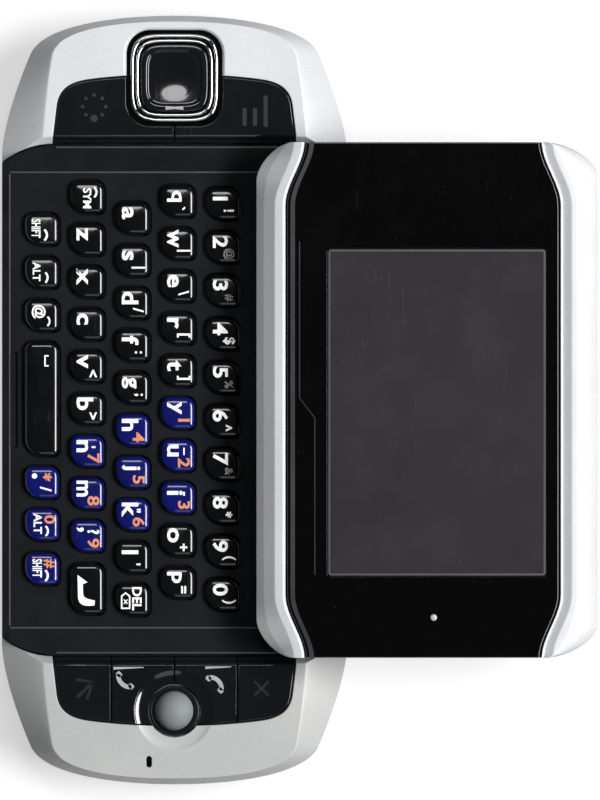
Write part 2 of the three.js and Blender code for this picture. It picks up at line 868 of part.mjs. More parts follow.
function upperRail() {
  const low = displaySplit;
  const crest = displayThickness;
  return skin(railStations().map((x) => {
    const outer = upperEdge(x);
    const inner = displayHalfWidth - upperRailWidth - flare(x);
    const slope = Math.min(displayHalfWidth - upperRailSlope - flare(x), inner + (outer - inner) / 2);
    return [
      new THREE.Vector3(x, inner, low),
      new THREE.Vector3(x, outer, low),
      new THREE.Vector3(x, outer, crest - upperRailDrop),
      new THREE.Vector3(x, slope, crest),
      new THREE.Vector3(x, inner, crest - upperRailStep),
    ];
  }));
}

function bezelOutline() {
  const places = stations(railFlareLength);
  const lowerFoot = lowerRailWidth - displayHalfWidth + railGap;
  const upperFoot = displayHalfWidth - upperRailWidth - railGap;
  const lower = places.map((x) => new THREE.Vector2(x, lowerFoot + flare(x)));
  const upper = places.map((x) => new THREE.Vector2(x, upperFoot - flare(x)));
  return [...lower, ...upper.reverse()];
}

function screenArea(grow) {
  return roundedAlike(screenRight, screenUp, screenLength, screenWidth, overrun, grow);
}

const windowTop = bezelTop - windowInset;
const windowBottom = windowTop - windowThickness;
const ledgeBottom = windowBottom - ledgeThickness;

function displayFrame() {
  const above = bezelTop + overrun;
  const panelSpace = panelMargin + fitGap;
  return prism(bezelOutline(), displaySplit, bezelTop)
    .subtract(prism(screenArea(fitGap), windowBottom, above))
    .subtract(prism(screenArea(-windowLedge), displaySplit - overrun, above))
    .subtract(prism(screenArea(panelSpace), displaySplit - overrun, ledgeBottom))
    .subtract(prism(circle(lightRight, lightUp, lightRadius, smallSegments), bezelTop - lightDepth, above));
}

function displayBack() {
  const outline = displayOutline();
  const layers = Array.from({ length: roundSteps + 1 }, (unused, step) => {
    const angle = (step / roundSteps) * quarterTurn;
    const inset = displayBackRound * (1 - Math.sin(angle));
    return [offset(outline, -inset), displayBackRound * (1 - Math.cos(angle))];
  });
  const pivotY = hingeOffset - displayCentreY;
  return loft([...layers, [outline, displaySplit]])
    .subtract(prism(offset(outline, -displayWall), displayFloor, displaySplit + overrun))
    .subtract(prism(circle(0, pivotY, flangeRadius + fitGap, hingeSegments), -overrun, flangeSeat))
    .subtract(prism(circle(0, pivotY, shaftBore, hingeSegments), -overrun, displayFloor + overrun));
}

// Swivel hinge, about its own axis, in heights of the handset

function hingeBasePlate() {
  const low = deckUnderside - hingePlateThickness;
  const bore = shaftRadius + runningGap;
  return prism(hingePlateArea(0), low, deckUnderside)
    .add(prism(circle(0, hingeOffset, collarRadius, hingeSegments), low, collarHeight))
    .subtract(prism(circle(0, hingeOffset, bore, hingeSegments), low - overrun, collarHeight + overrun));
}

function hingeShaft() {
  const plateLow = deckUnderside - hingePlateThickness;
  const washerLow = plateLow - keyDropGap - washerThickness;
  const foot = washerLow - rivetThickness;
  const flangeLow = collarHeight + flangeGap;
  const flangeHigh = displayFoot + flangeSeat;
  return solid(lathe([
    [shaftBore, foot],
    [rivetRadius, foot],
    [rivetRadius, washerLow],
    [shaftRadius, washerLow],
    [shaftRadius, flangeLow],
    [flangeRadius, flangeLow],
    [flangeRadius, flangeHigh],
    [shaftBore, flangeHigh],
    [shaftBore, foot],
  ], hingeSegments));
}

function hingeWasher() {
  const high = deckUnderside - hingePlateThickness - keyDropGap;
  const low = high - washerThickness;
  const bore = shaftRadius + seatGap;
  const ring = [[bore, low], [washerRadius, low], [washerRadius, high], [bore, high], [bore, low]];
  return solid(lathe(ring, hingeSegments));
}

// Edge buttons, about their outer face, pointing out along Z

function edgeKey({ length }) {
  const face = roundedAlike(0, 0, length, edgeKeyTall, edgeKeyRadius);
  const lip = roundedAlike(0, 0, length, edgeKeyTall, edgeKeyRadius, edgeKeyLip);
  const lipTop = -housingWall - fitGap;
  return prism(face, lipTop - edgeKeyFlange, 0).add(prism(lip, lipTop - edgeKeyFlange, lipTop));
}

// Finishes
const silver = { color: 0xe6e6e8, roughness: 0.35, metalness: 0.6 };
const charcoal = { color: 0x20242a, roughness: 0.7, metalness: 0 };
const darkShell = { color: 0x2b2e33, roughness: 0.6, metalness: 0 };
const glossBlack = { color: 0x07080b, roughness: 0.12, metalness: 0 };
const keyBlack = { color: 0x0a0a0d, roughness: 0.2, metalness: 0 };
const keyBlue = { color: 0x0b1578, roughness: 0.2, metalness: 0 };
const chromeTrim = { color: 0xd8dadc, roughness: 0.1, metalness: 1 };
const steel = { color: 0xa7a9ab, roughness: 0.35, metalness: 0.9 };
const ballGrey = { color: 0x969b9b, roughness: 0.3, metalness: 0 };
const boardGreen = { color: 0x1d4a2c, roughness: 0.5, metalness: 0 };
const batteryGrey = { color: 0x3a3c40, roughness: 0.6, metalness: 0 };
const screenGrey = { color: 0x3c3a3e, roughness: 0.15, metalness: 0 };
const glassClear = { color: 0x8a8c90, roughness: 0.05, metalness: 0, transparent: true, opacity: 0.4 };
const rubberBlack = { color: 0x121315, roughness: 0.5, metalness: 0 };

function placed(piece, x, y, z) {
  piece.position.set(x, y, z);
  return piece;
}

function handset() {
  const group = new THREE.Group();
  group.add(mesh('rear_housing', rearHousing(), darkShell));
  group.add(mesh('battery_cover', batteryCover(), darkShell));
  group.add(mesh('battery', battery(), batteryGrey));
  group.add(mesh('main_board', mainBoard(), boardGreen));
  group.add(mesh('keymat', keymat(), rubberBlack));
  group.add(mesh('keyboard_deck', keyboardDeck(), charcoal));
  group.add(mesh('left_end_cap', leftCap(), silver));
  group.add(mesh('right_end_cap', rightCap(), silver));
  const cameraX = cameraEndDistance - bodyLength / 2;
  group.add(placed(mesh('camera_module', cameraModule(), glossBlack), cameraX, cameraOffset, 0));
  const socket = mesh('usb_socket', socketShell(), steel);
  socket.rotation.y = -quarterTurn;
  group.add(placed(socket, socketInset - bodyLength / 2, 0, edgeKeyHeight));
  return group;
}

function keyboard() {
  const group = new THREE.Group();
  const blueNames = [...'yuihjknm'];
  letterKeys.forEach((key) => {
    const finish = blueNames.includes(key.name) ? keyBlue : keyBlack;
    const cap = keyCap({ ...key, x: 0, y: 0 }, 0, keyTopHeight - keyBottom);
    group.add(placed(mesh(`key_${key.name}`, cap, finish), key.x, key.y, keyBottom));
  });
  return group;
}

function facePads() {
  const group = new THREE.Group();
  const ball = ballRecess();
  const pads = [
    ['jump_key', -1, -Infinity, 0, padRecess()],
    ['menu_key', -1, 0, Infinity, padRecess()],
    ['cancel_key', 1, -Infinity, -outerPadSeam, ball],
    ['call_key', 1, -outerPadSeam, 0, ball],
    ['end_key', 1, 0, outerPadSeam, ball],
    ['ok_key', 1, outerPadSeam, Infinity, ball],
  ];
  pads.forEach(([name, side, low, high, recess]) => {
    group.add(mesh(name, facePad(side, low, high, recess), glossBlack));
  });
  return group;
}

function directionPad() {
  const group = new THREE.Group();
  group.add(mesh('d_pad_trim', padTrim(), chromeTrim));
  group.add(mesh('d_pad_ring', padRing(), chromeTrim));
  group.add(mesh('d_pad', padCentre(), glossBlack));
  return placed(group, padCentreX, 0, padRecessFloor);
}

function ballSet() {
  const group = new THREE.Group();
  group.add(mesh('trackball_bezel', trackballBezel(), glossBlack));
  const ballZ = capFaceHeight + ballProud - ballRadius;
  group.add(placed(mesh('trackball', trackball(), ballGrey), 0, 0, ballZ));
  return placed(group, ballCentreX, 0, 0);
}

function edgeKeys() {
  const group = new THREE.Group();
  edgeKeySpots().forEach((spot) => {
    const key = placed(mesh(spot.name, edgeKey(spot), darkShell), spot.x, spot.y, edgeKeyHeight);
    key.rotation.x = -Math.sign(spot.y) * quarterTurn;
    group.add(key);
  });
  return group;
}

function display() {
  const group = new THREE.Group();
  group.add(mesh('display_back', displayBack(), darkShell));
  group.add(mesh('display_frame', displayFrame(), glossBlack));
  group.add(mesh('lower_rail', lowerRail(), silver));
  group.add(mesh('upper_rail', upperRail(), silver));
  group.add(mesh('screen_window', prism(screenArea(0), windowBottom, windowTop), glassClear));
  const panelTop = ledgeBottom - panelGap;
  const panel = prism(screenArea(panelMargin), panelTop - panelThickness, panelTop);
  group.add(mesh('lcd_panel', panel, screenGrey));
  return placed(group, 0, displayCentreY, displayFoot);
}

function swivel() {
  const group = new THREE.Group();
  group.add(mesh('hinge_base_plate', hingeBasePlate(), steel));
  group.add(placed(mesh('hinge_shaft', hingeShaft(), steel), 0, hingeOffset, 0));
  group.add(placed(mesh('hinge_washer', hingeWasher(), steel), 0, hingeOffset, 0));
  return group;
}

const phone = new THREE.Group();
phone.add(handset(), keyboard(), facePads(), directionPad(), ballSet(), edgeKeys(), display(), swivel());

export default phone;
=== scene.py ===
"""Swivel phone: the finished handset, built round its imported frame.

Lengths are millimetres and become metres when a mesh is made. X runs along the handset to its
right end, Y towards the hinge edge and Z up from the flat back to the display.
"""

from __future__ import annotations

import json
import logging
import math
from dataclasses import dataclass, field, replace
from enum import Enum
from functools import partial
from typing import Callable, Sequence

import bpy
import mathutils
import numpy as np
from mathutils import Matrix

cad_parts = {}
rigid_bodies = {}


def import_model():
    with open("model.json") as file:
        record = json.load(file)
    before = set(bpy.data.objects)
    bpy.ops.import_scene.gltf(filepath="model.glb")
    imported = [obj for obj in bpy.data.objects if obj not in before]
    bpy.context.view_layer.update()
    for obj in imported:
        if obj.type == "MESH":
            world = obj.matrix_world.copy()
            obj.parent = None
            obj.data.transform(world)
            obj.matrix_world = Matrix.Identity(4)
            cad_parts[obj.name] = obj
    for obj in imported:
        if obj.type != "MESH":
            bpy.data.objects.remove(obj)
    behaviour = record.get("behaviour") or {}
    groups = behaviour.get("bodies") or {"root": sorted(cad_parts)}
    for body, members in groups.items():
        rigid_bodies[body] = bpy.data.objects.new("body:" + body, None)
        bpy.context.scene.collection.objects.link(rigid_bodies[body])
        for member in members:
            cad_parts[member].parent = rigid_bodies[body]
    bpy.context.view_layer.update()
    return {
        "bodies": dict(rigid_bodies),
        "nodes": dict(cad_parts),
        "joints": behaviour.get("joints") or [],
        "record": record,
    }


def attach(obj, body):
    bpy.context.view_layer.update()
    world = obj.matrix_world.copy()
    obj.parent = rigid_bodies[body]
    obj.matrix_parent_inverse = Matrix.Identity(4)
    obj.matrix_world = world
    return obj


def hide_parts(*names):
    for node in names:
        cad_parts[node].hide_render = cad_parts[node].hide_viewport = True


Array = np.ndarray
Pair = tuple[float, float]
LOG = logging.getLogger("swivel_phone")

MM = 0.001
TURN = math.tau
QUARTER = math.pi / 2
LEAST_RADIUS = 0.05
LEAST_SIDE = 0.01
POLE_RADIUS = 0.01
OVERRUN = 1.0
UPSIDE_DOWN = np.diag([1.0, -1.0, -1.0])
CORNERS = np.array([[1, -1], [1, 1], [-1, 1], [-1, -1]])
TAILED_LETTERS = "gjpqy"
WIDE_LETTERS = "mw"
FLAKE_SHEEN = 0.3
MARK_SHEEN = 0.35
DUST_TONE = "8e8f90"
WELD_REACH = 0.002


class Cut(Enum):
    """What a cutter does to the shape it meets."""

    AWAY = "DIFFERENCE"
    KEEP = "INTERSECT"
    JOIN = "UNION"


class Side(Enum):
    """An end of the handset, by the sign of its X."""

    LEFT = -1
    RIGHT = 1


# Curves and outlines


def bezier(points: Sequence[Sequence[float]], steps: int) -> Array:
    """Points of a Bezier curve: its controls weighted by the Bernstein polynomials.

    Args:
        points: the control points, one a row.
        steps: how many equal steps of the parameter there are.

    Returns:
        One point a row, with both ends.
    """
    controls = np.asarray(points, float)
    degree = len(controls) - 1
    t = np.linspace(0.0, 1.0, steps + 1)[:, None]
    order = np.arange(degree + 1)
    binomial = np.array([math.comb(degree, place) for place in order])
    return (binomial * t**order * (1 - t) ** (degree - order)) @ controls


def smooth(share: Array) -> Array:
    """The S curve 3t^2 - 2t^3 of a share held between 0 and 1."""
    t = np.clip(share, 0.0, 1.0)
    return t * t * (3 - 2 * t)


def mirrored(outline: Array, along: int, across: int) -> Array:
    """The outline with its coordinates times the two signs, in reverse order."""
    return (outline * [along, across])[::-1]


def all_round(end: Sequence[Sequence[float]], side: Sequence[Sequence[float]], steps: int) -> Array:
    """A closed outline from two curves that make its first quarter, mirrored both ways.

    Args:
        end: the control points from the middle of the right end.
        side: those from there to the long side.
        steps: how many steps each curve has.

    Returns:
        The outline, anticlockwise.
    """
    quarter = np.vstack([bezier(end, steps), bezier(side, steps)[1:]])
    upper = np.vstack([quarter, mirrored(quarter, -1, 1)])
    return np.vstack([upper, mirrored(upper, 1, -1)[1:-1]])


def offset(outline: Array, distance: float) -> Array:
    """Moves each point along the bisector of its two sides, so that the sides shift outwards.

    Args:
        outline: a closed outline, anticlockwise.
        distance: how far its sides move out.

    Returns:
        The moved outline, with as many points.
    """
    arriving = outline - np.roll(outline, 1, axis=0)
    leaving = np.roll(outline, -1, axis=0) - outline
    arriving /= np.linalg.norm(arriving, axis=1, keepdims=True)
    leaving /= np.linalg.norm(leaving, axis=1, keepdims=True)
    total = arriving + leaving
    bisector = np.stack([total[:, 1], -total[:, 0]], axis=1)
    bisector /= np.linalg.norm(bisector, axis=1, keepdims=True)
    cosine = bisector[:, 0] * leaving[:, 1] - bisector[:, 1] * leaving[:, 0]
    return outline + bisector * (distance / cosine)[:, None]


def circle(radius: float, centre: Sequence[float] = (0.0, 0.0), count: int = 96) -> Array:
    """A circle of count points, cosine and sine of equal angles times the radius."""
    angle = np.arange(count) / count * TURN
    return np.stack([np.cos(angle), np.sin(angle)], axis=1) * radius + np.asarray(centre)


def rounded(
    length: float,
    width: float,
    radii: float | Sequence[float],
    centre: Sequence[float] = (0.0, 0.0),
    grow: float = 0.0,
    steps: int = 10,
) -> Array:
    """A rectangle whose corners are quarter circles.

    Args:
        length: its size along X.
        width: its size along Y.
        radii: one radius, or four: right front, right back, left back, left front.
        centre: where its middle is.
        grow: how far its sides move out, with their corners round the same centres.
        steps: how many steps each corner has.

    Returns:
        The outline, anticlockwise from above.
    """
    most = min(length, width) / 2 + grow - LEAST_SIDE
    radius = np.clip(np.broadcast_to(np.asarray(radii, float), 4) + grow, LEAST_RADIUS, most)
    middle = CORNERS * (np.array([length, width]) / 2 + grow - radius[:, None])
    angle = (np.arange(4)[:, None] - 1 + np.linspace(0, 1, steps + 1)) * QUARTER
    arcs = np.stack([np.cos(angle), np.sin(angle)], axis=2) * radius[:, None, None]
    return (middle[:, None] + arcs).reshape(-1, 2) + np.asarray(centre)


def lifted(outline: Array, height: float | Array) -> Array:
    """The outline as points in space at one height, or at a height a point."""
    heights = np.broadcast_to(np.asarray(height, float), len(outline))
    return np.column_stack([outline, heights])


# Solids held as arrays


@dataclass
class Solid:
    """Points in millimetres with faces, and the number of the finish that each face has."""

    points: Array
    faces: list[list[int]]
    finishes: list[int]

    def __add__(self, other: Solid) -> Solid:
        """Both solids as one set of points and faces."""
        shift = len(self.points)
        faces = self.faces + [[corner + shift for corner in face] for face in other.faces]
        return Solid(np.vstack([self.points, other.points]), faces, self.finishes + other.finishes)

    def moved(self, *distance: float) -> Solid:
        """The solid shifted along X, Y and Z."""
        return self.shaped(self.points + np.asarray(distance))

    def turned(self, axes: Sequence[Sequence[float]], place: Sequence[float] = (0.0, 0.0, 0.0)) -> Solid:
        """The solid with its points times a matrix, given by rows, then shifted."""
        return self.shaped(self.points @ np.transpose(axes) + np.asarray(place))

    def shaped(self, points: Array) -> Solid:
        """The same faces and finishes over other points."""
        return Solid(points, self.faces, self.finishes)

    def painted(self, number: int) -> Solid:
        """The solid with one finish number on every face."""
        return Solid(self.points, self.faces, [number] * len(self.faces))


def joined(solids: Sequence[Solid]) -> Solid:
    """Many solids as one."""
    return sum(solids[1:], solids[0])


def skin(rings: Array, ends: bool = True) -> Solid:
    """A grid of points as a closed skin: each ring joins the next one by a band of quads.

    Args:
        rings: points by ring and by place round it, anticlockwise seen against their travel.
        ends: whether the first and last rings are capped; if not, the last joins the first.

    Returns:
        The solid.
    """
    layers, count = rings.shape[:2]
    index = np.arange(layers * count).reshape(layers, count)
    upper = index[1:] if ends else np.roll(index, -1, axis=0)
    lower = index[:-1] if ends else index
    turned = [np.roll(lower, -1, axis=1), np.roll(upper, -1, axis=1)]
    faces = np.stack([lower, *turned, upper], axis=2).reshape(-1, 4).tolist()
    if ends:
        faces += [index[0, ::-1].tolist(), index[-1].tolist()]
    return Solid(rings.reshape(-1, 3), faces, [0] * len(faces))


def loft(layers: Sequence[tuple[Array, float]]) -> Solid:
    """A skin over outlines with as many points each, every one at its own height."""
    return skin(np.stack([lifted(outline, height) for outline, height in layers]))


def prism(outline: Array, low: float, high: float) -> Solid:
    """The outline carried straight up from one height to another."""
    return loft([(outline, low), (outline, high)])


def softened(outline: Array, low: float, high: float, edge: float) -> Solid:
    """A prism whose upper edge is a quarter circle: inset e(1 - cos a) at height e sin a.

    Args:
        outline: the outline at its foot.
        low: the height of its foot.
        high: the height of its top.
        edge: the radius of the rounding.

    Returns:
        The solid.
    """
    layers = [(outline, low)]
    for a in np.linspace(0, QUARTER, 6):
        layers.append((offset(outline, -edge * (1 - math.cos(a))), high - edge + edge * math.sin(a)))
    return loft(layers)


def eased_cutter(outline: Array, low: float, face: float, edge: float, wall: int = 0) -> Solid:
    """A cutter that leaves a rounded edge where it leaves the face.

    It goes up the outline, turns outwards on an arc of the edge's radius through 60 degrees and runs
    on straight through the face.

    Args:
        outline: the opening's outline below its edge.
        low: where the cutter starts.
        face: the height of the face that it opens.
        edge: the radius of the edge.
        wall: the finish number that its floor and walls leave behind.

    Returns:
        The cutter.
    """
    angle = np.linspace(0, QUARTER * 2 / 3, 5)
    layers = [(outline, low)]
    for a in angle:
        layers.append((offset(outline, edge * (1 - math.cos(a))), face - edge + edge * math.sin(a)))
    spread, height = math.sin(angle[-1]), math.cos(angle[-1])
    mouth = offset(outline, edge * (1 - height) + edge * spread)
    layers += [(mouth, face - edge + edge * spread + edge * height), (mouth, face + OVERRUN)]
    cutter = loft(layers)
    count = len(outline)
    cutter.finishes[:count] = [wall] * count
    cutter.finishes[-2] = wall
    return cutter


def lathe(profile: Sequence[Sequence[float]], centre: Sequence[float], count: int = 96) -> Solid:
    """A profile of radius and height turned about an upright axis.

    Args:
        profile: radius and height a row, from the foot up the outside; it may come back to its start.
        centre: where the axis stands.
        count: how many steps the turn has.

    Returns:
        The solid, an open ring's section if the profile is closed.
    """
    rows = np.asarray(profile, float)
    closed = bool(np.allclose(rows[0], rows[-1]))
    rows = rows[:-1] if closed else rows
    unit = circle(1.0, count=count)
    rings = np.stack([lifted(unit * radius + np.asarray(centre), height) for radius, height in rows])
    return skin(rings, ends=not closed)


def rounded_profile(points: Array, radius: float, steps: int = 4) -> Array:
    """Open profiles whose inner corners are replaced by parabolic arcs that start a radius away.

    Args:
        points: the corners, one a row, or one such table a station along a third axis in front.
        radius: how far from each corner its arc starts, at most 0.45 of the side.
        steps: how many steps each arc has.

    Returns:
        The smoothed profile or profiles.
    """
    corners = np.asarray(points, float)
    before, here, after = corners[..., :-2, :], corners[..., 1:-1, :], corners[..., 2:, :]
    reach_in = np.linalg.norm(before - here, axis=-1, keepdims=True)
    reach_out = np.linalg.norm(after - here, axis=-1, keepdims=True)
    start = here + (before - here) * np.minimum(radius / reach_in, 0.45)
    end = here + (after - here) * np.minimum(radius / reach_out, 0.45)
    t = np.linspace(0, 1, steps + 1)[:, None]
    start, here, end = (corner[..., None, :] for corner in (start, here, end))
    arcs = start * (1 - t) ** 2 + here * 2 * t * (1 - t) + end * t**2
    flat = arcs.reshape(*arcs.shape[:-3], -1, arcs.shape[-1])
    return np.concatenate([corners[..., :1, :], flat, corners[..., -1:, :]], axis=-2)


# Sizes shared by the handset's pieces


@dataclass(frozen=True)
class BodySizes:
    """The handset's main sizes and clearances."""

    length: float = 130.0
    width: float = 58.4
    parting: float = 8.6
    seam: float = 0.2
    facet_foot: float = 9.2
    facet_power: float = 1.15
    crest_end: tuple = ((63.9, 0), (63.9, 9), (62.9, 20), (58, 20.7))
    crest_side: tuple = ((58, 20.7), (56, 21.1), (48, 22.2), (40, 22.4))
    crest_run: float = 0.25
    cap_face: float = 13.0
    back_round: float = 2.8
    well_half: float = 43.3
    well_run: float = 1.2
    well_foot: float = 11.4
    well_radius: float = 14.0
    well_reach: float = 5.2
    deck_height: float = 10.5
    fit_gap: float = 0.3
    key_gap: float = 0.25
    end_shares: tuple = ((1, 0), (1, 0.299), (0.981, 0.731), (0.907, 0.827))
    side_shares: tuple = ((0.907, 0.827), (0.901, 0.835), (0.7315, 1), (0.631, 1))
    facet_shares: tuple = (0.0, 0.12, 0.3, 0.5, 0.7, 0.86, 0.95, 0.985, 1.0)
    arc_steps: int = 26

    def outline(self, end_inset: float = 0.0, side_inset: float = 0.0) -> Array:
        """The body seen from above.

        Args:
            end_inset: how far the ends are drawn in.
            side_inset: how far the long sides are drawn in.

        Returns:
            The outline, anticlockwise.
        """
        half = np.array([self.length / 2 - end_inset, self.width / 2 - side_inset])
        end, side = np.asarray(self.end_shares) * half, np.asarray(self.side_shares) * half
        return all_round(end, side, self.arc_steps)

    def crown(self, reach: float = 1.0) -> Solid:
        """The upper half's outer skin: a facet z = f + d(1 - (1 - u)^p) up to a crisp crest, then a flat.

        Args:
            reach: the share of its run that the facet takes up.

        Returns:
            The closed skin.
        """
        outer = self.outline()
        crest = outer + (all_round(self.crest_end, self.crest_side, self.arc_steps) - outer) * reach
        share = np.array(self.facet_shares)
        heights = self.facet_foot + (self.cap_face - self.facet_foot) * (1 - (1 - share) ** self.facet_power)
        foot = lifted(self.outline(self.seam, self.seam), self.parting)
        rings = [foot, lifted(outer, self.parting + self.seam)]
        rings += [lifted(outer + (crest - outer) * u, h) for u, h in zip(share, heights)]
        rings.append(lifted(offset(crest, -self.crest_run), self.cap_face))
        return skin(np.stack(rings))

    def well(self, half_length: float) -> Array:
        """The outline of the space for the keyboard between the caps."""
        width = self.width + self.well_reach * 2
        return rounded(half_length * 2, width, self.well_radius, steps=28)


BODY = BodySizes()


# Finishes


def linear(code: str) -> tuple[float, float, float, float]:
    """A six-digit colour code as linear light: ((c + 0.055) / 1.055)^2.4 for all but the darkest."""
    shares = np.array([int(code[place : place + 2], 16) for place in (0, 2, 4)]) / 255
    light = np.where(shares <= 0.04045, shares / 12.92, ((shares + 0.055) / 1.055) ** 2.4)
    return (*light.tolist(), 1.0)


Feed = "bpy.types.NodeSocket | float | tuple"


class Graph:
    """A node tree with short calls for the nodes that the finishes use."""

    def __init__(self, tree: bpy.types.NodeTree) -> None:
        """Keeps the tree that nodes are added to."""
        self.tree = tree

    def node(
        self, kind: str, feeds: dict[str | int, Feed] | None = None, **settings: object
    ) -> bpy.types.Node:
        """Adds a node, sets its options and feeds its inputs.

        Args:
            kind: the node's type, without the ShaderNode in front.
            feeds: a value or a socket for each input, by name or number.
            settings: the node's own options.

        Returns:
            The node.
        """
        made = self.tree.nodes.new(f"ShaderNode{kind}")
        for name, value in settings.items():
            setattr(made, name, value)
        for name, value in (feeds or {}).items():
            self.feed(made.inputs[name], value)
        return made

    def feed(self, socket: bpy.types.NodeSocket, value: Feed) -> None:
        """Links the socket to another one, or sets its value.

        Args:
            socket: the input.
            value: another node's output, or a plain value.
        """
        if isinstance(value, bpy.types.NodeSocket):
            self.tree.links.new(value, socket)
        else:
            socket.default_value = value

    def math(self, operation: str, first: Feed, *others: Feed, clamp: bool = False) -> bpy.types.NodeSocket:
        """The output of Math nodes that take in one value after another.

        Args:
            operation: what each node works out.
            first: the first value.
            others: the further values, one a node.
            clamp: whether each result is held between 0 and 1.

        Returns:
            The last node's output.
        """
        for other in others:
            made = self.node("Math", {0: first, 1: other}, operation=operation, use_clamp=clamp)
            first = made.outputs[0]
        return first

    def spread(
        self, value: Feed, low: float, high: float, start: float = 0.0, end: float = 1.0
    ) -> bpy.types.NodeSocket:
        """The output of a Map Range node, held between its ends."""
        feeds = {"Value": value, "From Min": low, "From Max": high, "To Min": start, "To Max": end}
        return self.node("MapRange", feeds, interpolation_type="SMOOTHSTEP").outputs["Result"]

    def blend(self, share: Feed, first: Feed, second: Feed) -> bpy.types.NodeSocket:
        """A colour between two others."""
        return self.node("Mix", {0: share, 6: first, 7: second}, data_type="RGBA").outputs[2]

    def noise(self, where: Feed, size: Feed, detail: float = 2.0, rough: float = 0.5) -> bpy.types.NodeSocket:
        """Noise whose features are about the given size, in the units of the place."""
        scale = self.math("DIVIDE", 1.0, size)
        feeds = {"Vector": where, "Scale": scale, "Detail": detail, "Roughness": rough}
        return self.node("TexNoise", feeds).outputs["Fac"]


class Effects:
    """The node groups that several finishes share, each built once. Sizes in millimetres."""

    scratches = ((0.45, 0.05), (-0.8, 0.035), (1.9, 0.06))
    scratch_size = 0.42
    patch_size = 9.0
    mote_scale = 1.1
    mote_patch = 2.3
    smudge_size = 7.0

    def __init__(self) -> None:
        """Builds the groups."""
        self.grain = self.build_grain()
        self.wear = self.build_wear()
        self.flake = self.build_flake()

    @staticmethod
    def start(
        name: str, takes: dict[str, float | None], gives: Sequence[str]
    ) -> tuple[Graph, dict, bpy.types.Node]:
        """Makes an empty group with its sockets.

        Args:
            name: the group's name.
            takes: each input with its value, or None for a place.
            gives: the names of the outputs, all values.

        Returns:
            The graph, its inputs by name and its output node.
        """
        tree = bpy.data.node_groups.new(name, "ShaderNodeTree")
        for label, value in takes.items():
            kind = "NodeSocketVector" if value is None else "NodeSocketFloat"
            socket = tree.interface.new_socket(label, in_out="INPUT", socket_type=kind)
            if value is not None:
                socket.default_value = value
        for label in gives:
            tree.interface.new_socket(label, in_out="OUTPUT", socket_type="NodeSocketFloat")
        graph = Graph(tree)
        source = tree.nodes.new("NodeGroupInput")
        inputs = {label: source.outputs[label] for label in takes}
        return graph, inputs, tree.nodes.new("NodeGroupOutput")

    def build_grain(self) -> bpy.types.NodeTree:
        """Moulded grain: fine noise for the height, and broad noise for the tone."""
        takes = {"Place": None, "Size": 0.3, "Broad": 12.0}
        graph, given, out = self.start("moulded_grain", takes, ["Height", "Tone"])
        fine = graph.noise(given["Place"], given["Size"], 3.0, 0.6)
        broad = graph.noise(given["Place"], given["Broad"], 2.0, 0.55)
        graph.feed(out.inputs["Height"], graph.spread(fine, 0.3, 0.7))
        graph.feed(out.inputs["Tone"], graph.spread(broad, 0.34, 0.66))
        return graph.tree

    def build_wear(self) -> bpy.types.NodeTree:
        """Handling marks: hairlines along three slants, specks of dust and broad smudges."""
        takes = {"Place": None, "Hairlines": 0.5, "Dust": 0.5}
        graph, given, out = self.start("handling_wear", takes, ["Hairline", "Speck", "Smudge"])
        place, lines = given["Place"], []
        for turn, stretch in self.scratches:
            feeds = {"Vector": place, "Rotation": (0, 0, turn), "Scale": (stretch, 1, 1)}
            drawn = graph.node("Mapping", feeds).outputs[0]
            lines.append(graph.spread(graph.noise(drawn, self.scratch_size, 2.0, 0.7), 0.668, 0.7))
        patch = graph.spread(graph.noise(place, self.patch_size), 0.45, 0.62)
        worn = graph.math("MULTIPLY", graph.math("MAXIMUM", *lines), patch, given["Hairlines"])
        graph.feed(out.inputs["Hairline"], worn)
        motes = graph.node("TexVoronoi", {"Vector": place, "Scale": self.mote_scale, "Randomness": 1.0})
        near = graph.spread(motes.outputs["Distance"], 0.02, 0.075, 1.0, 0.0)
        some = graph.spread(graph.noise(place, self.mote_patch, 1.0), 0.5, 0.6)
        graph.feed(out.inputs["Speck"], graph.math("MULTIPLY", near, some, given["Dust"]))
        smear = graph.spread(graph.noise(place, self.smudge_size, 4.0, 0.62), 0.42, 0.72)
        graph.feed(out.inputs["Smudge"], smear)
        return graph.tree

    def build_flake(self) -> bpy.types.NodeTree:
        """Metal flake in lacquer: tiny cells, each a little lighter or darker."""
        takes = {"Place": None, "Size": 0.16, "Amount": 0.1}
        graph, given, out = self.start("lacquer_flake", takes, ["Shade"])
        scale = graph.math("DIVIDE", 1.0, given["Size"])
        cells = graph.node("TexVoronoi", {"Vector": given["Place"], "Scale": scale})
        value = graph.node("SeparateColor", {"Color": cells.outputs["Color"]}).outputs[0]
        swing = graph.math("MULTIPLY", graph.math("SUBTRACT", value, 0.5), given["Amount"])
        graph.feed(out.inputs["Shade"], graph.math("ADD", swing, 0.5))
        return graph.tree


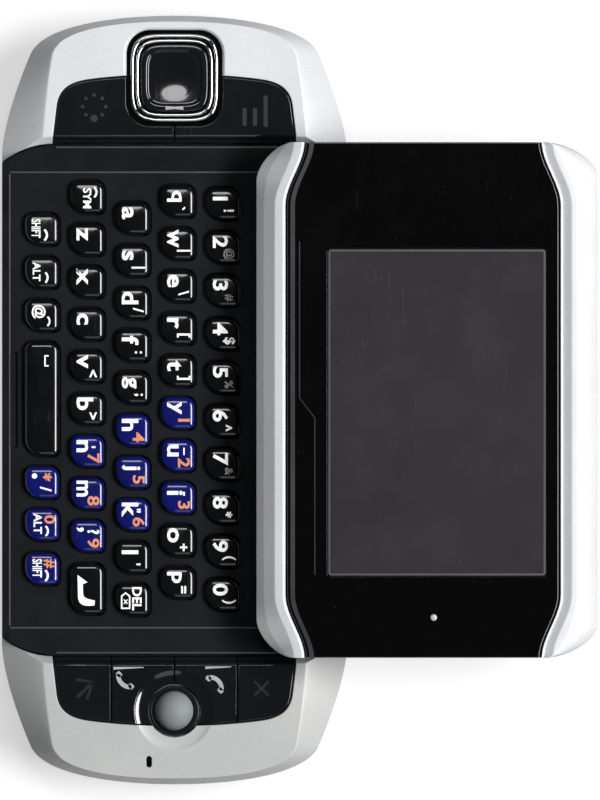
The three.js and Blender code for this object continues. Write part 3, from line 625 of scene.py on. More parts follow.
@dataclass(frozen=True)
class Finish:
    """A surface: two tones, its gloss, and how much of each shared effect it has. Sizes in mm."""

    tone: str
    second: str
    broad: float = 12.0
    roughness: float = 0.4
    swing: float = 0.08
    metallic: float = 0.0
    coat: float = 0.0
    coat_roughness: float = 0.05
    specular: float = 0.5
    grain: float = 0.3
    depth: float = 0.0
    flake: float = 0.0
    hairlines: float = 0.0
    dust: float = 0.0
    # Painted light: how strongly the surface gives off its own tone, though it is no lamp.
    glow: float = 0.0

    def material(self, name: str, effects: Effects) -> bpy.types.Material:
        """Builds the material: tones by broad noise, then flake, dust, hairlines and grain.

        Args:
            name: the material's name.
            effects: the shared node groups.

        Returns:
            The material.
        """
        made = bpy.data.materials.new(name)
        made.use_nodes = True
        graph = Graph(made.node_tree)
        shader = made.node_tree.nodes["Principled BSDF"]
        place = graph.node("TexCoord").outputs["Object"]
        place = graph.node("VectorMath", {0: place, "Scale": 1 / MM}, operation="SCALE").outputs[0]
        feeds = {"Place": place, "Size": self.grain, "Broad": self.broad}
        grain = graph.node("Group", feeds, node_tree=effects.grain)
        feeds = {"Place": place, "Hairlines": self.hairlines, "Dust": self.dust}
        wear = graph.node("Group", feeds, node_tree=effects.wear)
        hairline, speck = wear.outputs["Hairline"], wear.outputs["Speck"]
        colour = graph.blend(grain.outputs["Tone"], linear(self.tone), linear(self.second))
        rough = graph.spread(wear.outputs["Smudge"], 0.0, 1.0, self.roughness, self.roughness + self.swing)
        if self.flake:
            flake = graph.node("Group", {"Place": place, "Amount": self.flake}, node_tree=effects.flake)
            shade = flake.outputs["Shade"]
            feeds = {"Value": graph.math("ADD", shade, 0.5), "Color": colour}
            colour = graph.node("HueSaturation", feeds).outputs[0]
            swing = graph.math("MULTIPLY", graph.math("SUBTRACT", shade, 0.5), FLAKE_SHEEN)
            rough = graph.math("ADD", rough, swing)
        marks = graph.math("MULTIPLY", graph.math("MAXIMUM", hairline, speck), MARK_SHEEN)
        feeds = {
            "Base Color": graph.blend(speck, colour, linear(DUST_TONE)),
            "Roughness": graph.math("ADD", rough, marks, clamp=True),
            "Metallic": self.metallic,
            "Coat Weight": self.coat,
            "Coat Roughness": self.coat_roughness,
            "Specular IOR Level": self.specular,
            # Emission of the surface's own tone is painted light wherever glow is set.
            "Emission Color": linear(self.tone),
            "Emission Strength": self.glow,
        }
        if self.depth:
            height = graph.math("SUBTRACT", grain.outputs["Height"], hairline)
            bump = graph.node("Bump", {"Height": height, "Distance": self.depth * MM, "Strength": 1.0})
            feeds["Normal"] = bump.outputs[0]
        for label, value in feeds.items():
            graph.feed(shader.inputs[label], value)
        return made

SILVER = Finish(
    "dedfe2", "d8dadd", 18, 0.42, 0.06, 0.08,
    specular=0.28, grain=0.5, depth=0.002, flake=0.08, hairlines=0.25, dust=0.1,
)
GLOSS = Finish("020203", "030304", 20, 0.08, 0.04, coat=0.6, coat_roughness=0.03, hairlines=0.2, dust=0.3)
KEY = Finish("090a0d", "0c0d11", 8, 0.13, 0.08, coat=0.5, coat_roughness=0.08, hairlines=0.4, dust=0.3)

FINISHES = {
    "silver_lacquer": SILVER,
    # The same silver, darker and warmer, for the right cap: painted shade, a shaded copy of the lacquer.
    "silver_shade": replace(SILVER, tone="c3c4c2", second="bdbfbf"),
    "deck_charcoal": Finish(
        "0e1114", "15191d", 9, 0.6, 0.1, specular=0.12, grain=0.22, depth=0.012, hairlines=0.2, dust=0.3
    ),
    "dark_shell": Finish("24272c", "2a2d32", 14, 0.5, 0.12, grain=0.25, depth=0.014, hairlines=0.2, dust=0.3),
    "pad_black": Finish(
        "101317", "13161a", 12, 0.1, 0.03, coat=0.6, coat_roughness=0.04, hairlines=0.3, dust=0.3
    ),
    "gloss_black": GLOSS,
    "key_black": KEY,
    "key_blue": replace(KEY, tone="0e1668", second="0c125c", roughness=0.15),
    # The white ink glows faintly: painted light that keeps the legends bright where the display's shade
    # falls.
    "ink_white": Finish("f4f5f2", "eceeea", 3, 0.4, 0.1, glow=0.3),
    "ink_orange": Finish("e9966f", "e18c66", 3, 0.4, 0.1),
    "ink_grey": Finish("9a9da2", "8f9298", 3, 0.4, 0.1),
    "ring_black": Finish("030304", "050506", 6, 0.35, 0.1, specular=0.3),
    "icon_pale": Finish("b2b4b4", "a4a7a8", 3, 0.4, 0.1),
    "band_grey": Finish("37383d", "303136", 10, 0.3, 0.1),
    # A lighter charcoal for the deck's fine ridges: painted highlight lines along the creases, the ends and
    # the front lip.
    "deck_edge": Finish("43474d", "3b3f45", 9, 0.5, 0.1, grain=0.3),
    "icon_grey": Finish("1f2328", "1b1f24", 3, 0.3, 0.1),
    "chrome_trim": Finish("e4e5e6", "dcdedf", 10, 0.07, 0.05, 1.0, hairlines=0.5, dust=0.2),
    "steel": Finish("a9abad", "9fa1a4", 8, 0.3, 0.12, 0.95, grain=0.3, depth=0.003, hairlines=0.8),
    "ball_grey": Finish("8d9193", "868b8d", 5, 0.55, 0.08, specular=0.3, grain=0.4, depth=0.002, dust=0.2),
    "screen_grey": Finish(
        "322f34", "373138", 14, 0.16, 0.05, coat=0.5, coat_roughness=0.03, hairlines=0.35, dust=0.4
    ),
    "screen_border": Finish("5a5a5e", "545458", 14, 0.2, 0.05),
    "key_rubber": Finish("101114", "15161a", 6, 0.6, 0.1, grain=0.3, depth=0.01),
    "board_green": Finish("1c4a2b", "205232", 6, 0.45, 0.1, grain=0.5, depth=0.01),
    "battery_grey": Finish("36383c", "3c3e42", 8, 0.5, 0.1, grain=0.4, depth=0.008),
    "lamp_grey": Finish("c4c8c8", "b4b8ba", 1, 0.15, 0.05, coat=1.0),
    "lens_dark": Finish("0a0c14", "10131e", 2, 0.04, 0.02, coat=1.0, coat_roughness=0.0),
}


class Palette:
    """Makes each finish's material when it is first asked for."""

    def __init__(self) -> None:
        """Builds the shared groups."""
        self.effects = Effects()
        self.made: dict[str, bpy.types.Material] = {}

    def material(self, name: str) -> bpy.types.Material:
        """The material of that name."""
        if name not in self.made:
            self.made[name] = FINISHES[name].material(name, self.effects)
        return self.made[name]


# Making objects


class Bench:
    """Turns solids into Blender objects, cuts them and puts them on their bodies."""

    def __init__(self, palette: Palette) -> None:
        """Keeps the palette that finishes come from."""
        self.palette = palette
        self.count = 0

    def raw(self, name: str, solid: Solid) -> bpy.types.Object:
        """A bare object from a solid, in metres.

        Args:
            name: the object's name.
            solid: what it is made of.

        Returns:
            The object, linked to the scene.
        """
        mesh = bpy.data.meshes.new(name)
        mesh.from_pydata((solid.points * MM).tolist(), [], solid.faces)
        mesh.polygons.foreach_set("material_index", solid.finishes)
        piece = bpy.data.objects.new(name, mesh)
        bpy.context.scene.collection.objects.link(piece)
        return piece

    def settled(self, piece: bpy.types.Object) -> bpy.types.Object:
        """The object with its modifiers worked into its mesh.

        Args:
            piece: the object.

        Returns:
            The same object.
        """
        graph = bpy.context.evaluated_depsgraph_get()
        mesh = bpy.data.meshes.new_from_object(piece.evaluated_get(graph), depsgraph=graph)
        piece.modifiers.clear()
        old = piece.data
        piece.data = mesh
        bpy.data.meshes.remove(old)
        return piece

    def cut(self, name: str, base: Solid, steps: Sequence[tuple[Cut, Solid]]) -> bpy.types.Object:
        """Carves a solid with others, one after the other.

        Args:
            name: the finished object's name.
            base: what is carved.
            steps: each cutter with what it does.

        Returns:
            The carved object.
        """
        piece = self.raw(name, base)
        cutters = [self.raw(f"{name}_cutter", solid) for _, solid in steps]
        for (action, _), cutter in zip(steps, cutters):
            modifier = piece.modifiers.new("cut", "BOOLEAN")
            modifier.operation = action.value
            modifier.object = cutter
            modifier.solver = "EXACT"
        self.settled(piece)
        for cutter in cutters:
            mesh = cutter.data
            bpy.data.objects.remove(cutter)
            bpy.data.meshes.remove(mesh)
        return piece

    def fit(
        self,
        piece: bpy.types.Object,
        body: str,
        slot: str,
        finishes: Sequence[str],
        nodes: Sequence[str] = (),
        edge: float = 0.0,
        sharp: float = 38.0,
    ) -> None:
        """Finishes a piece: its materials, its edges, the body it rides and the nodes it stands for.

        Args:
            piece: the object.
            body: the CAD body that carries it.
            slot: the record's material slot; not used.
            finishes: the palette names of its materials, by finish number.
            nodes: the CAD nodes that it replaces.
            edge: the width of a small bevel on its sharp edges, or 0.
            sharp: the angle in degrees from which an edge shades sharp.
        """
        for name in finishes:
            piece.data.materials.append(self.palette.material(name))
        weld = piece.modifiers.new("weld", "WELD")
        weld.merge_threshold = WELD_REACH * MM
        if edge:
            bevel = piece.modifiers.new("edge", "BEVEL")
            bevel.width = edge * MM
            bevel.segments = 2
            bevel.limit_method = "ANGLE"
            bevel.angle_limit = math.radians(sharp)
        self.settled(piece)
        piece.data.shade_smooth()
        piece.data.set_sharp_from_angle(angle=math.radians(sharp))
        even = piece.modifiers.new("even", "WEIGHTED_NORMAL")
        even.mode = "FACE_AREA"
        even.weight = 80
        even.keep_sharp = True
        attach(piece, body)
        if nodes:
            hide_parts(*nodes)
        self.count += 1
        LOG.info("%s rides %s with %d faces", piece.name, body, len(piece.data.polygons))

    def make(self, name: str, solid: Solid, *fitting: object, **edges: float) -> None:
        """A piece from one solid, finished as fit says."""
        self.fit(self.raw(name, solid), *fitting, **edges)


# Handset pieces


@dataclass
class Housing:
    """The dark lower shell with its openings, the battery cover and the edge buttons."""

    bench: Bench
    wall: float = 1.6
    floor: float = 2.4
    seam: float = 0.22
    battery: Pair = (57.4, 37.4)
    battery_height: float = 5.2
    bay_radius: float = 1.5
    bay_wall: float = 1.0
    cover_margin: float = 2.4
    cover_height: float = 1.2
    cover_radius: float = 4.0
    grip_size: Pair = (0.9, 11.0)
    grip_start: float = 25.0
    grip_pitch: float = 1.8
    grip_count: int = 4
    button_height: float = 5.0
    button_tall: float = 2.8
    button_radius: float = 1.2
    button_edge: float = 0.35
    button_lip: float = 0.7
    button_flange: float = 0.8
    button_place: float = 34.0
    # Each edge button's name, its signs along and across, and its length
    edge_buttons: tuple = (
        ("left_shoulder_button", -1, 1, 9.0),
        ("right_shoulder_button", 1, 1, 9.0),
        ("volume_rocker", -1, -1, 14.0),
        ("power_button", 1, -1, 9.0),
    )
    lens_place: Pair = (-49.0, 9.0)
    lens_radius: float = 4.6
    ring_outside: tuple = ((4.3, 0.0), (4.6, 0.3), (4.6, 4.0), (2.5, 4.0), (2.5, 1.0))
    ring_steps: tuple = ((2.7, 0.35), (3.3, 0.2), (3.4, 0.05), (4.3, 0.0))
    dome_radius: float = 2.45
    dome_top: float = 0.75
    dome_rise: float = 0.35
    dome_back: float = 1.6
    socket_size: Pair = (2.8, 7.4)
    socket_radius: float = 0.35
    jack_radius: float = 1.8
    jack_place: float = 10.0
    slot_pitch: float = 2.4
    slot_size: Pair = (1.0, 9.0)
    slot_count: int = 5
    slot_end: float = 17.0
    screw_radius: float = 1.5
    screw_depth: float = 0.9
    screw_head: tuple = ((POLE_RADIUS, 0.5), (1.1, 0.6), (1.3, 0.75), (1.3, 1.4), (POLE_RADIUS, 1.4))
    cross_size: Pair = (1.7, 0.28)
    cross_top: float = 0.85
    screw_places: tuple = ((-36.0, 17.5), (36.0, 17.5), (36.0, -17.5), (-36.0, -17.5))

    def button_face(self, length: float, grow: float = 0.0) -> Array:
        """A button's outline seen from outside, moved out by some distance."""
        return rounded(length, self.button_tall, self.button_radius, grow=grow)

    def turned_out(self, solid: Solid, along: int, across: int) -> Solid:
        """A solid drawn facing up, turned to face out of a long side: Y becomes its height."""
        place = (along * self.button_place, across * BODY.width / 2, self.button_height)
        return solid.turned([[1, 0, 0], [0, 0, across], [0, -across, 0]], place)

    def shell(self) -> None:
        """The lower shell: the body's outline carried up round a quarter circle at the back."""
        angle = np.linspace(0, QUARTER, 9)
        inset = BODY.back_round * (1 - np.sin(angle))
        height = BODY.back_round * (1 - np.cos(angle))
        layers = [(BODY.outline(d, d), h) for d, h in zip(inset, height)]
        layers.append((BODY.outline(), BODY.parting - self.seam))
        layers.append((BODY.outline(self.seam, self.seam), BODY.parting))
        gap = BODY.fit_gap
        bay_top = self.cover_height + self.battery_height
        frame = rounded(*self.battery, self.bay_radius, grow=gap + self.bay_wall)
        bay = rounded(*self.battery, self.bay_radius, grow=gap)
        recess = rounded(*self.battery, self.cover_radius, grow=self.cover_margin + gap)
        steps = [
            (Cut.AWAY, prism(BODY.outline(self.wall, self.wall), self.floor, BODY.parting + OVERRUN)),
            (Cut.JOIN, prism(frame, self.cover_height, bay_top)),
            (Cut.AWAY, prism(bay, -OVERRUN, bay_top + OVERRUN)),
            (Cut.AWAY, self.eased_below(recess, self.cover_height)),
            (Cut.AWAY, joined(self.openings())),
            (Cut.AWAY, joined(self.screw_wells())),
        ]
        piece = self.bench.cut("lower_shell", loft(layers), steps)
        self.bench.fit(piece, "handset", "dark_shell", ["dark_shell"], ["rear_housing"])

    def openings(self) -> list[Solid]:
        """The cutters for the buttons, the loudspeaker's slots, the camera, the socket and the plug."""
        reach = self.wall + OVERRUN
        solids = []
        for _, along, across, length in self.edge_buttons:
            window = prism(self.button_face(length, BODY.key_gap), -reach, OVERRUN)
            solids.append(self.turned_out(window, along, across))
        start = BODY.length / 2 - self.slot_end - self.slot_pitch * (self.slot_count - 1) / 2
        for place in range(self.slot_count):
            middle = (start + place * self.slot_pitch, 0)
            slot = rounded(*self.slot_size, self.slot_size[0] / 2, middle)
            solids.append(prism(slot, -OVERRUN, self.floor + OVERRUN))
        lens = circle(self.lens_radius + BODY.fit_gap, self.lens_place)
        solids.append(prism(lens, -OVERRUN, self.floor + OVERRUN))
        reach = self.wall + BODY.back_round
        end, height = BODY.length / 2, self.button_height
        socket = prism(rounded(*self.socket_size, self.socket_radius, grow=BODY.key_gap), -reach, OVERRUN)
        solids.append(socket.turned([[0, 0, -1], [0, 1, 0], [1, 0, 0]], (-end, 0, height)))
        jack = prism(circle(self.jack_radius, count=48), -reach, OVERRUN)
        solids.append(jack.turned([[0, 0, 1], [0, 1, 0], [-1, 0, 0]], (end, self.jack_place, height)))
        return solids

    def eased_below(self, outline: Array, depth: float) -> Solid:
        """A cutter for the back face whose edge is rounded, by turning an upward one over."""
        return eased_cutter(mirrored(outline, 1, -1), -depth, 0.0, self.seam).turned(UPSIDE_DOWN)

    def screw_wells(self) -> list[Solid]:
        """Four round wells for the case screws."""
        wells = [circle(self.screw_radius, place, 32) for place in self.screw_places]
        return [self.eased_below(well, self.screw_depth) for well in wells]

    def screws(self) -> None:
        """Cross-head screws in their wells: a turned head and a cross of two grooves."""
        heads = [lathe(self.screw_head, place, 32) for place in self.screw_places]
        steps = []
        for size in (self.cross_size, self.cross_size[::-1]):
            bars = [rounded(*size, LEAST_RADIUS, place) for place in self.screw_places]
            steps.append((Cut.AWAY, joined([prism(bar, -OVERRUN, self.cross_top) for bar in bars])))
        piece = self.bench.cut("case_screws", joined(heads), steps)
        self.bench.fit(piece, "handset", "steel", ["steel"])

    def cover(self) -> None:
        """The battery cover with its rounded edge and a row of grip ridges."""
        outline = rounded(*self.battery, self.cover_radius, grow=self.cover_margin, steps=14)
        plate = softened(mirrored(outline, 1, -1), -self.cover_height, 0, self.seam).turned(UPSIDE_DOWN)
        half = self.grip_size[0] / 2
        grips = []
        for place in range(self.grip_count):
            grip = rounded(*self.grip_size, half, (self.grip_start + place * self.grip_pitch, 0))
            grips.append(self.eased_below(grip, half))
        piece = self.bench.cut("back_cover", plate, [(Cut.AWAY, joined(grips))])
        self.bench.fit(piece, "handset", "dark_shell", ["dark_shell"], ["battery_cover"])

    def buttons(self) -> None:
        """The four edge buttons: a softened face on a wider lip behind the wall."""
        lip_top = -self.wall - BODY.fit_gap
        for name, along, across, length in self.edge_buttons:
            lip = prism(self.button_face(length, self.button_lip), lip_top - self.button_flange, lip_top)
            solid = softened(self.button_face(length), lip_top, 0.0, self.button_edge) + lip
            solid = self.turned_out(solid, along, across)
            self.bench.make(f"{name}_face", solid, name, "dark_shell", ["dark_shell"], [name])

    def lens(self) -> None:
        """The camera: a sunk glass dome z = t + r s^2 in a stepped ring with a fine polished line."""
        ring = lathe(self.ring_outside + self.ring_steps, self.lens_place)
        share = np.linspace(0, 1, 9)
        radius = np.maximum(self.dome_radius * share, POLE_RADIUS)
        dome = np.column_stack([radius, self.dome_top + self.dome_rise * share**2])
        back = [(self.dome_radius, self.dome_back), (POLE_RADIUS, self.dome_back)]
        solid = ring + lathe(np.vstack([dome, back]), self.lens_place, 64).painted(1)
        finishes = ["gloss_black", "lens_dark"]
        self.bench.make("camera_lens", solid, "handset", "gloss_black", finishes, ["camera_module"])

    def build(self) -> None:
        """Builds every piece of the housing."""
        self.shell()
        self.cover()
        self.screws()
        self.buttons()
        self.lens()


@dataclass
class Caps:
    """The two silver caps and what is cut into them."""

    bench: Bench
    pad_depth: float = 11.6
    field_half: float = 20.4
    front: tuple = ((1, 0), (0.985, 0.4), (0.92, 0.69))
    corner: tuple = ((0.92, 0.69), (0.885, 0.85), (0.8, 0.95), (0.53, 0.965))
    pocket_floor: float = 10.9
    recess_floor: float = 10.6
    rocker_centre: float = -54.4
    recess_size: float = 16.2
    recess_radius: float = 4.0
    recess_edge: float = 0.7
    rim_rise: float = 0.35
    rim_ease: float = 0.3
    ball_centre: float = 52.5
    ring_radius: float = 4.2
    dish_radius: float = 6.75
    dish_depth: float = 0.45
    dish_step: float = 0.2
    dish_exit: Pair = (0.5, 0.3)
    socket_radius: float = 3.9
    mic_size: Pair = (1.9, 0.9)
    mic_place: Pair = (61.1, -4.3)
    mic_depth: float = 1.0
    mic_edge: float = 0.12
    edge: float = 0.22

    def field(self, side: Side) -> Array:
        """The outline of the key field: a bowed front, drawn-in corners and straight flanks.

        Args:
            side: which cap it is in.

        Returns:
            The outline, anticlockwise.
        """
        size = np.array([self.pad_depth, self.field_half])
        start = np.array([BODY.well_half, 0])
        front = bezier(self.front * size + start, 12)
        corner = bezier(self.corner * size + start, 22)
        flank = np.array([[0, 1], [-BODY.well_run / self.pad_depth, 1]]) * size + start
        half = np.vstack([front, corner[1:], flank])
        right = np.vstack([mirrored(half, 1, -1)[:-1], half])
        return right if side is Side.RIGHT else mirrored(right, -1, 1)

    def well(self) -> Solid:
        """The cutter for the keyboard's space: a sloping wall with eased edges."""
        face = BODY.cap_face
        heights = (BODY.parting - OVERRUN, BODY.well_foot, face, face + self.rim_rise, face + OVERRUN)
        runs = zip((0, 0, 1, 2, 2.2), heights)
        path = [(BODY.well_half + BODY.well_run * run, height) for run, height in runs]
        return loft([(BODY.well(half), height) for half, height in rounded_profile(path, self.rim_ease)])

    def recess(self) -> Array:
        """The outline of the opening for the direction pad."""
        size = self.recess_size
        return rounded(size, size, self.recess_radius, (self.rocker_centre, 0), steps=16)

    def dish(self) -> Solid:
        """The shallow dish round the ball: d(1 - s^3) deep at the share s of its width, then straight out."""
        low = BODY.cap_face - self.dish_depth
        run = self.dish_radius - self.ring_radius
        shares = np.linspace(0.0, 1.0, 11)
        curve = np.column_stack([self.ring_radius + run * shares, low + self.dish_depth * shares**3])
        last, (aside, up) = curve[-1], self.dish_exit
        foot = [(POLE_RADIUS, low), (self.ring_radius - self.dish_step, low)]
        away = [last + [aside, up], last + [aside, OVERRUN], [POLE_RADIUS, last[1] + OVERRUN]]
        return lathe(np.vstack([foot, curve, away]), (self.ball_centre, 0), 128)

    def ball_hole(self, radius: float, low: float) -> Solid:
        """An upright cutter round the ball, from a height to above the face."""
        return prism(circle(radius, (self.ball_centre, 0)), low, BODY.cap_face + OVERRUN)

    def cap(self, side: Side, lacquer: str) -> None:
        """One cap: its crown, the keyboard's wall, the pocket for the keys and its own openings, whose walls
        and floors are gloss black as painted shade.

        Args:
            side: which cap it is.
            lacquer: its finish; the right cap's is the darker copy of the silver, painted shade.
        """
        face = BODY.cap_face
        pocket = offset(self.field(side), BODY.key_gap)
        reach = BODY.length
        half = rounded(reach, reach, 1.0, (side.value * reach / 2, 0))
        # The pocket's, the recess's and the mic slot's walls and floors take finish 1, gloss black: painted
        # shade in these openings.
        steps = [
            (Cut.KEEP, prism(half, 0.0, face * 2)),
            (Cut.AWAY, self.well()),
            (Cut.AWAY, eased_cutter(pocket, self.pocket_floor, face, self.edge, 1)),
        ]
        if side is Side.LEFT:
            recess = eased_cutter(self.recess(), self.recess_floor, face, self.recess_edge, 1)
            steps.append((Cut.AWAY, recess))
        else:
            ring = self.ball_hole(self.ring_radius + BODY.fit_gap, self.recess_floor)
            socket = self.ball_hole(self.socket_radius, BODY.parting - OVERRUN)
            mic = rounded(*self.mic_size, self.mic_size[1] / 2, self.mic_place)
            mic_slot = eased_cutter(mic, face - self.mic_depth, face, self.mic_edge, 1)
            steps += [(Cut.AWAY, cutter) for cutter in (self.dish(), ring, socket, mic_slot)]
        end = side.name.lower()
        piece = self.bench.cut(f"{end}_cap_shell", BODY.crown(), steps)
        # Finish 1, gloss black, is the painted shade inside the openings.
        finishes = [lacquer, "gloss_black"]
        self.bench.fit(piece, "handset", "silver_plastic", finishes, [f"{end}_end_cap"])

    def build(self) -> None:
        """Builds both caps."""
        self.cap(Side.LEFT, "silver_lacquer")
        # The right cap takes the darker copy of the silver: painted shade.
        self.cap(Side.RIGHT, "silver_shade")


@dataclass
class FacePads:
    """The six gloss keys in the caps' faces."""

    bench: Bench
    caps: Caps
    low: float = 11.5
    high: float = 13.1
    seam: float = 0.3
    outer_seam: float = 10.65
    edge: float = 0.16
    recess_edge: float = 0.3

    def stock(self, side: Side) -> list[tuple[Cut, Solid]]:
        """The cuts that all pads of one cap share: the well's wall, the seams and the recess.

        Args:
            side: the cap's side.

        Returns:
            Each cutter with what it does.
        """
        places = [0.0] if side is Side.LEFT else [-self.outer_seam, 0.0, self.outer_seam]
        middle = side.value * (BODY.well_half + self.caps.pad_depth / 2)
        low = self.low - OVERRUN
        size = (self.caps.pad_depth * 2, self.seam, LEAST_RADIUS)
        lines = [rounded(*size, (middle, place), steps=2) for place in places]
        slots = joined([eased_cutter(line, low, self.high, self.edge) for line in lines])
        cutters = [self.caps.well(), slots]
        if side is Side.LEFT:
            cutters.append(eased_cutter(self.caps.recess(), low, self.high, self.recess_edge))
        else:
            hole = circle(self.caps.ring_radius + BODY.fit_gap, (self.caps.ball_centre, 0))
            cutters += [self.caps.dish(), prism(hole, low, self.high + OVERRUN)]
        return [(Cut.AWAY, cutter) for cutter in cutters]

    def pad(self, name: str, side: Side, low: float, high: float) -> None:
        """One pad: the field's plate between two seams.

        Args:
            name: the pad's name, which is its body's and its node's too.
            side: which cap it is in.
            low: where it starts across the cap.
            high: where it ends.
        """
        middle = (side.value * BODY.length / 2, (low + high) / 2)
        block = rounded(BODY.length, high - low, LEAST_RADIUS, middle, steps=2)
        plate = softened(self.caps.field(side), self.low, self.high, self.edge)
        steps = self.stock(side) + [(Cut.KEEP, prism(block, self.low - OVERRUN, self.high + OVERRUN))]
        piece = self.bench.cut(f"{name}_cap", plate, steps)
        self.bench.fit(piece, name, "gloss_black", ["pad_black"], [name])

    def build(self) -> None:
        """Builds the six pads."""
        far = self.caps.field_half + OVERRUN
        self.pad("jump_key", Side.LEFT, -far, 0.0)
        self.pad("menu_key", Side.LEFT, 0.0, far)
        self.pad("cancel_key", Side.RIGHT, -far, -self.outer_seam)
        self.pad("call_key", Side.RIGHT, -self.outer_seam, 0.0)
        self.pad("end_key", Side.RIGHT, 0.0, self.outer_seam)
        self.pad("ok_key", Side.RIGHT, self.outer_seam, far)


@dataclass
class DirectionPad:
    """The chrome-edged rocker: fixed trim, tipping ring and dished pad."""

    bench: Bench
    centre: float = -54.4
    floor: float = 10.6
    top: float = 13.3
    size: float = 14.8
    band: float = 0.55
    gap: float = 0.3
    pad_gap: float = 0.25
    rocker_low: float = 11.3
    power: float = 4.4
    crease: float = 1.05
    dimple: float = 3.6
    dimple_depth: float = 0.33
    rim_drop: float = 0.1
    rim_run: float = 0.18
    rim_rise: float = 0.02
    shelf_drop: float = 0.3
    crease_run: float = 0.25
    ease: float = 0.2
    # Size, inset and height span of the pale bow-tie, a painted highlight.
    painted_highlight_size: Pair = (0.3, 1.5)
    painted_highlight_inset: float = 0.65
    painted_highlight_span: Pair = (0.15, 0.04)

    @property
    def pad_start(self) -> float:
        """How far the pad's wall is inside the trim's."""
        return self.band * 2 + self.gap + self.pad_gap

    def outline(self, inset: float, power: float | None = None) -> Array:
        """A square with bowed sides: the radius is h(|cos a|^p + |sin a|^p)^(-1/p) at each angle.

        Args:
            inset: how far its sides are drawn in.
            power: the power p, with 2 for a circle.

        Returns:
            The outline, anticlockwise.
        """
        p = self.power if power is None else power
        unit = circle(1.0, count=112)
        reach = (np.abs(unit) ** p).sum(axis=1) ** (-1 / p)
        return unit * (reach * (self.size / 2 - inset))[:, None] + [self.centre, 0.0]

    def band_at(self, inset: float, low: float) -> Solid:
        """A band with a round crest: offset b/2 cos a and height b/2 sin a over its two walls.

        Args:
            inset: how far its outer wall is inside the trim's.
            low: the height of its foot.

        Returns:
            The closed band.
        """
        half = self.band / 2
        angle = np.linspace(0, math.pi, 13)
        places = np.concatenate([[0.0], half - half * np.cos(angle), [self.band]])
        heights = np.concatenate([[low], self.top - half + half * np.sin(angle), [low]])
        rings = np.stack([lifted(self.outline(inset + d), h) for d, h in zip(places, heights)])
        return skin(rings, ends=False)

    def pad_solid(self) -> Solid:
        """The pad: a rim, a soft crease, a level shelf and a round dimple z = e - d(1 - (r/R)^2)."""
        start = self.pad_start
        half = self.size / 2 - start
        rim, turn, shelf = self.top - self.rim_drop, self.crease + self.shelf_drop, half - self.dimple
        floor = rim - self.shelf_drop
        path = [(0.0, self.rocker_low), (0.0, floor), (self.rim_run, rim), (self.crease, rim + self.rim_rise)]
        path += [(self.crease + self.crease_run, floor), (shelf, floor)]
        insets, heights = rounded_profile(path, self.ease).T
        reach = self.dimple * np.linspace(0.99, 0.01, 18)
        insets = np.concatenate([insets, half - reach])
        bowl = floor - self.dimple_depth * (1 - (reach / self.dimple) ** 2)
        heights = np.concatenate([heights, bowl])
        powers = 2 + (self.power - 2) * (1 - smooth((insets - turn) / (shelf - turn)))
        rows = zip(insets, powers, heights)
        return skin(np.stack([lifted(self.outline(start + d, p), h) for d, p, h in rows]))

    def build(self) -> None:
        """Builds the trim, the ring, the pad and the pale bow-tie on the pad's rim, a painted highlight of
        its crease.
        """
        chrome = ("chrome_trim", ["chrome_trim"])
        ring = self.band_at(self.band + self.gap, self.rocker_low)
        self.bench.make("rocker_trim", self.band_at(0.0, self.floor), "handset", *chrome, ["d_pad_trim"])
        self.bench.make("rocker_ring", ring, "d_pad_ring", *chrome, ["d_pad_ring"])
        black = ("d_pad", "gloss_black")
        self.bench.make("rocker_pad", self.pad_solid(), *black, ["pad_black"], ["d_pad"], sharp=60.0)
        # A pale bow-tie on the rim beyond the dimple: painted highlight.
        wide, half = self.painted_highlight_size
        bow = [(-wide, -half), (wide, -half), (wide / 2, 0.0), (wide, half), (-wide, half), (-wide / 2, 0.0)]
        place = [self.centre + self.size / 2 - self.pad_start - self.painted_highlight_inset, 0.0]
        mark = prism(bow + np.array(place), *(self.top - drop for drop in self.painted_highlight_span))
        self.bench.make("rocker_mark", mark, *black, ["icon_pale"])


@dataclass
class BallSet:
    """The trackball and the black ring round it."""

    bench: Bench
    centre: float = 52.5
    ball_height: float = 10.0
    ball_radius: float = 3.5
    ring_radius: float = 4.2
    ring_top: float = 12.3
    ring_foot: float = 10.6
    lip_radius: float = 3.4
    lip_height: float = 11.3
    lip_slope: float = 0.15
    run: float = 0.3
    crest: float = 0.1
    ease: float = 0.12

    def build(self) -> None:
        """Builds the ring, a turned section with a soft rim, and the ball, turned from a half circle."""
        foot = (self.lip_radius + self.run, self.ring_foot)
        path = [
            foot,
            (self.ring_radius, self.ring_foot),
            (self.ring_radius, self.ring_top),
            (self.ring_radius - self.run, self.ring_top + self.crest),
            (self.lip_radius + self.lip_slope, self.ring_top - self.run),
            (self.lip_radius, self.lip_height),
            foot,
        ]
        place = (self.centre, 0)
        ring = lathe(rounded_profile(path, self.ease), place)
        self.bench.make("ball_ring", ring, "handset", "gloss_black", ["ring_black"], ["trackball_bezel"])
        angle = np.linspace(-QUARTER, QUARTER, 49)
        radius = np.maximum(self.ball_radius * np.cos(angle), POLE_RADIUS / 2)
        rows = np.column_stack([radius, self.ball_height + self.ball_radius * np.sin(angle)])
        self.bench.make("ball", lathe(rows, place), "trackball", "ball_grey", ["ball_grey"], ["trackball"])


# Keyboard


class Ink(Enum):
    """The colour of a printed mark, by its finish number on a key."""

    WHITE = 1
    ORANGE = 2
    GREY = 3


@dataclass(frozen=True)
class Mark:
    """One printed mark: what it says or draws, its place from the key's middle, its height and ink."""

    text: str
    right: float
    up: float
    height: float
    ink: Ink = Ink.WHITE
    squeeze: float = 1.0


@dataclass(frozen=True)
class KeySpot:
    """A key: its name, its middle, its length and its four corner radii."""

    name: str
    x: float
    y: float
    length: float
    radii: tuple[float, ...]

    @property
    def is_letter(self) -> bool:
        """Whether it is one of the 26 letters."""
        return len(self.name) == 1 and self.name.isalpha()


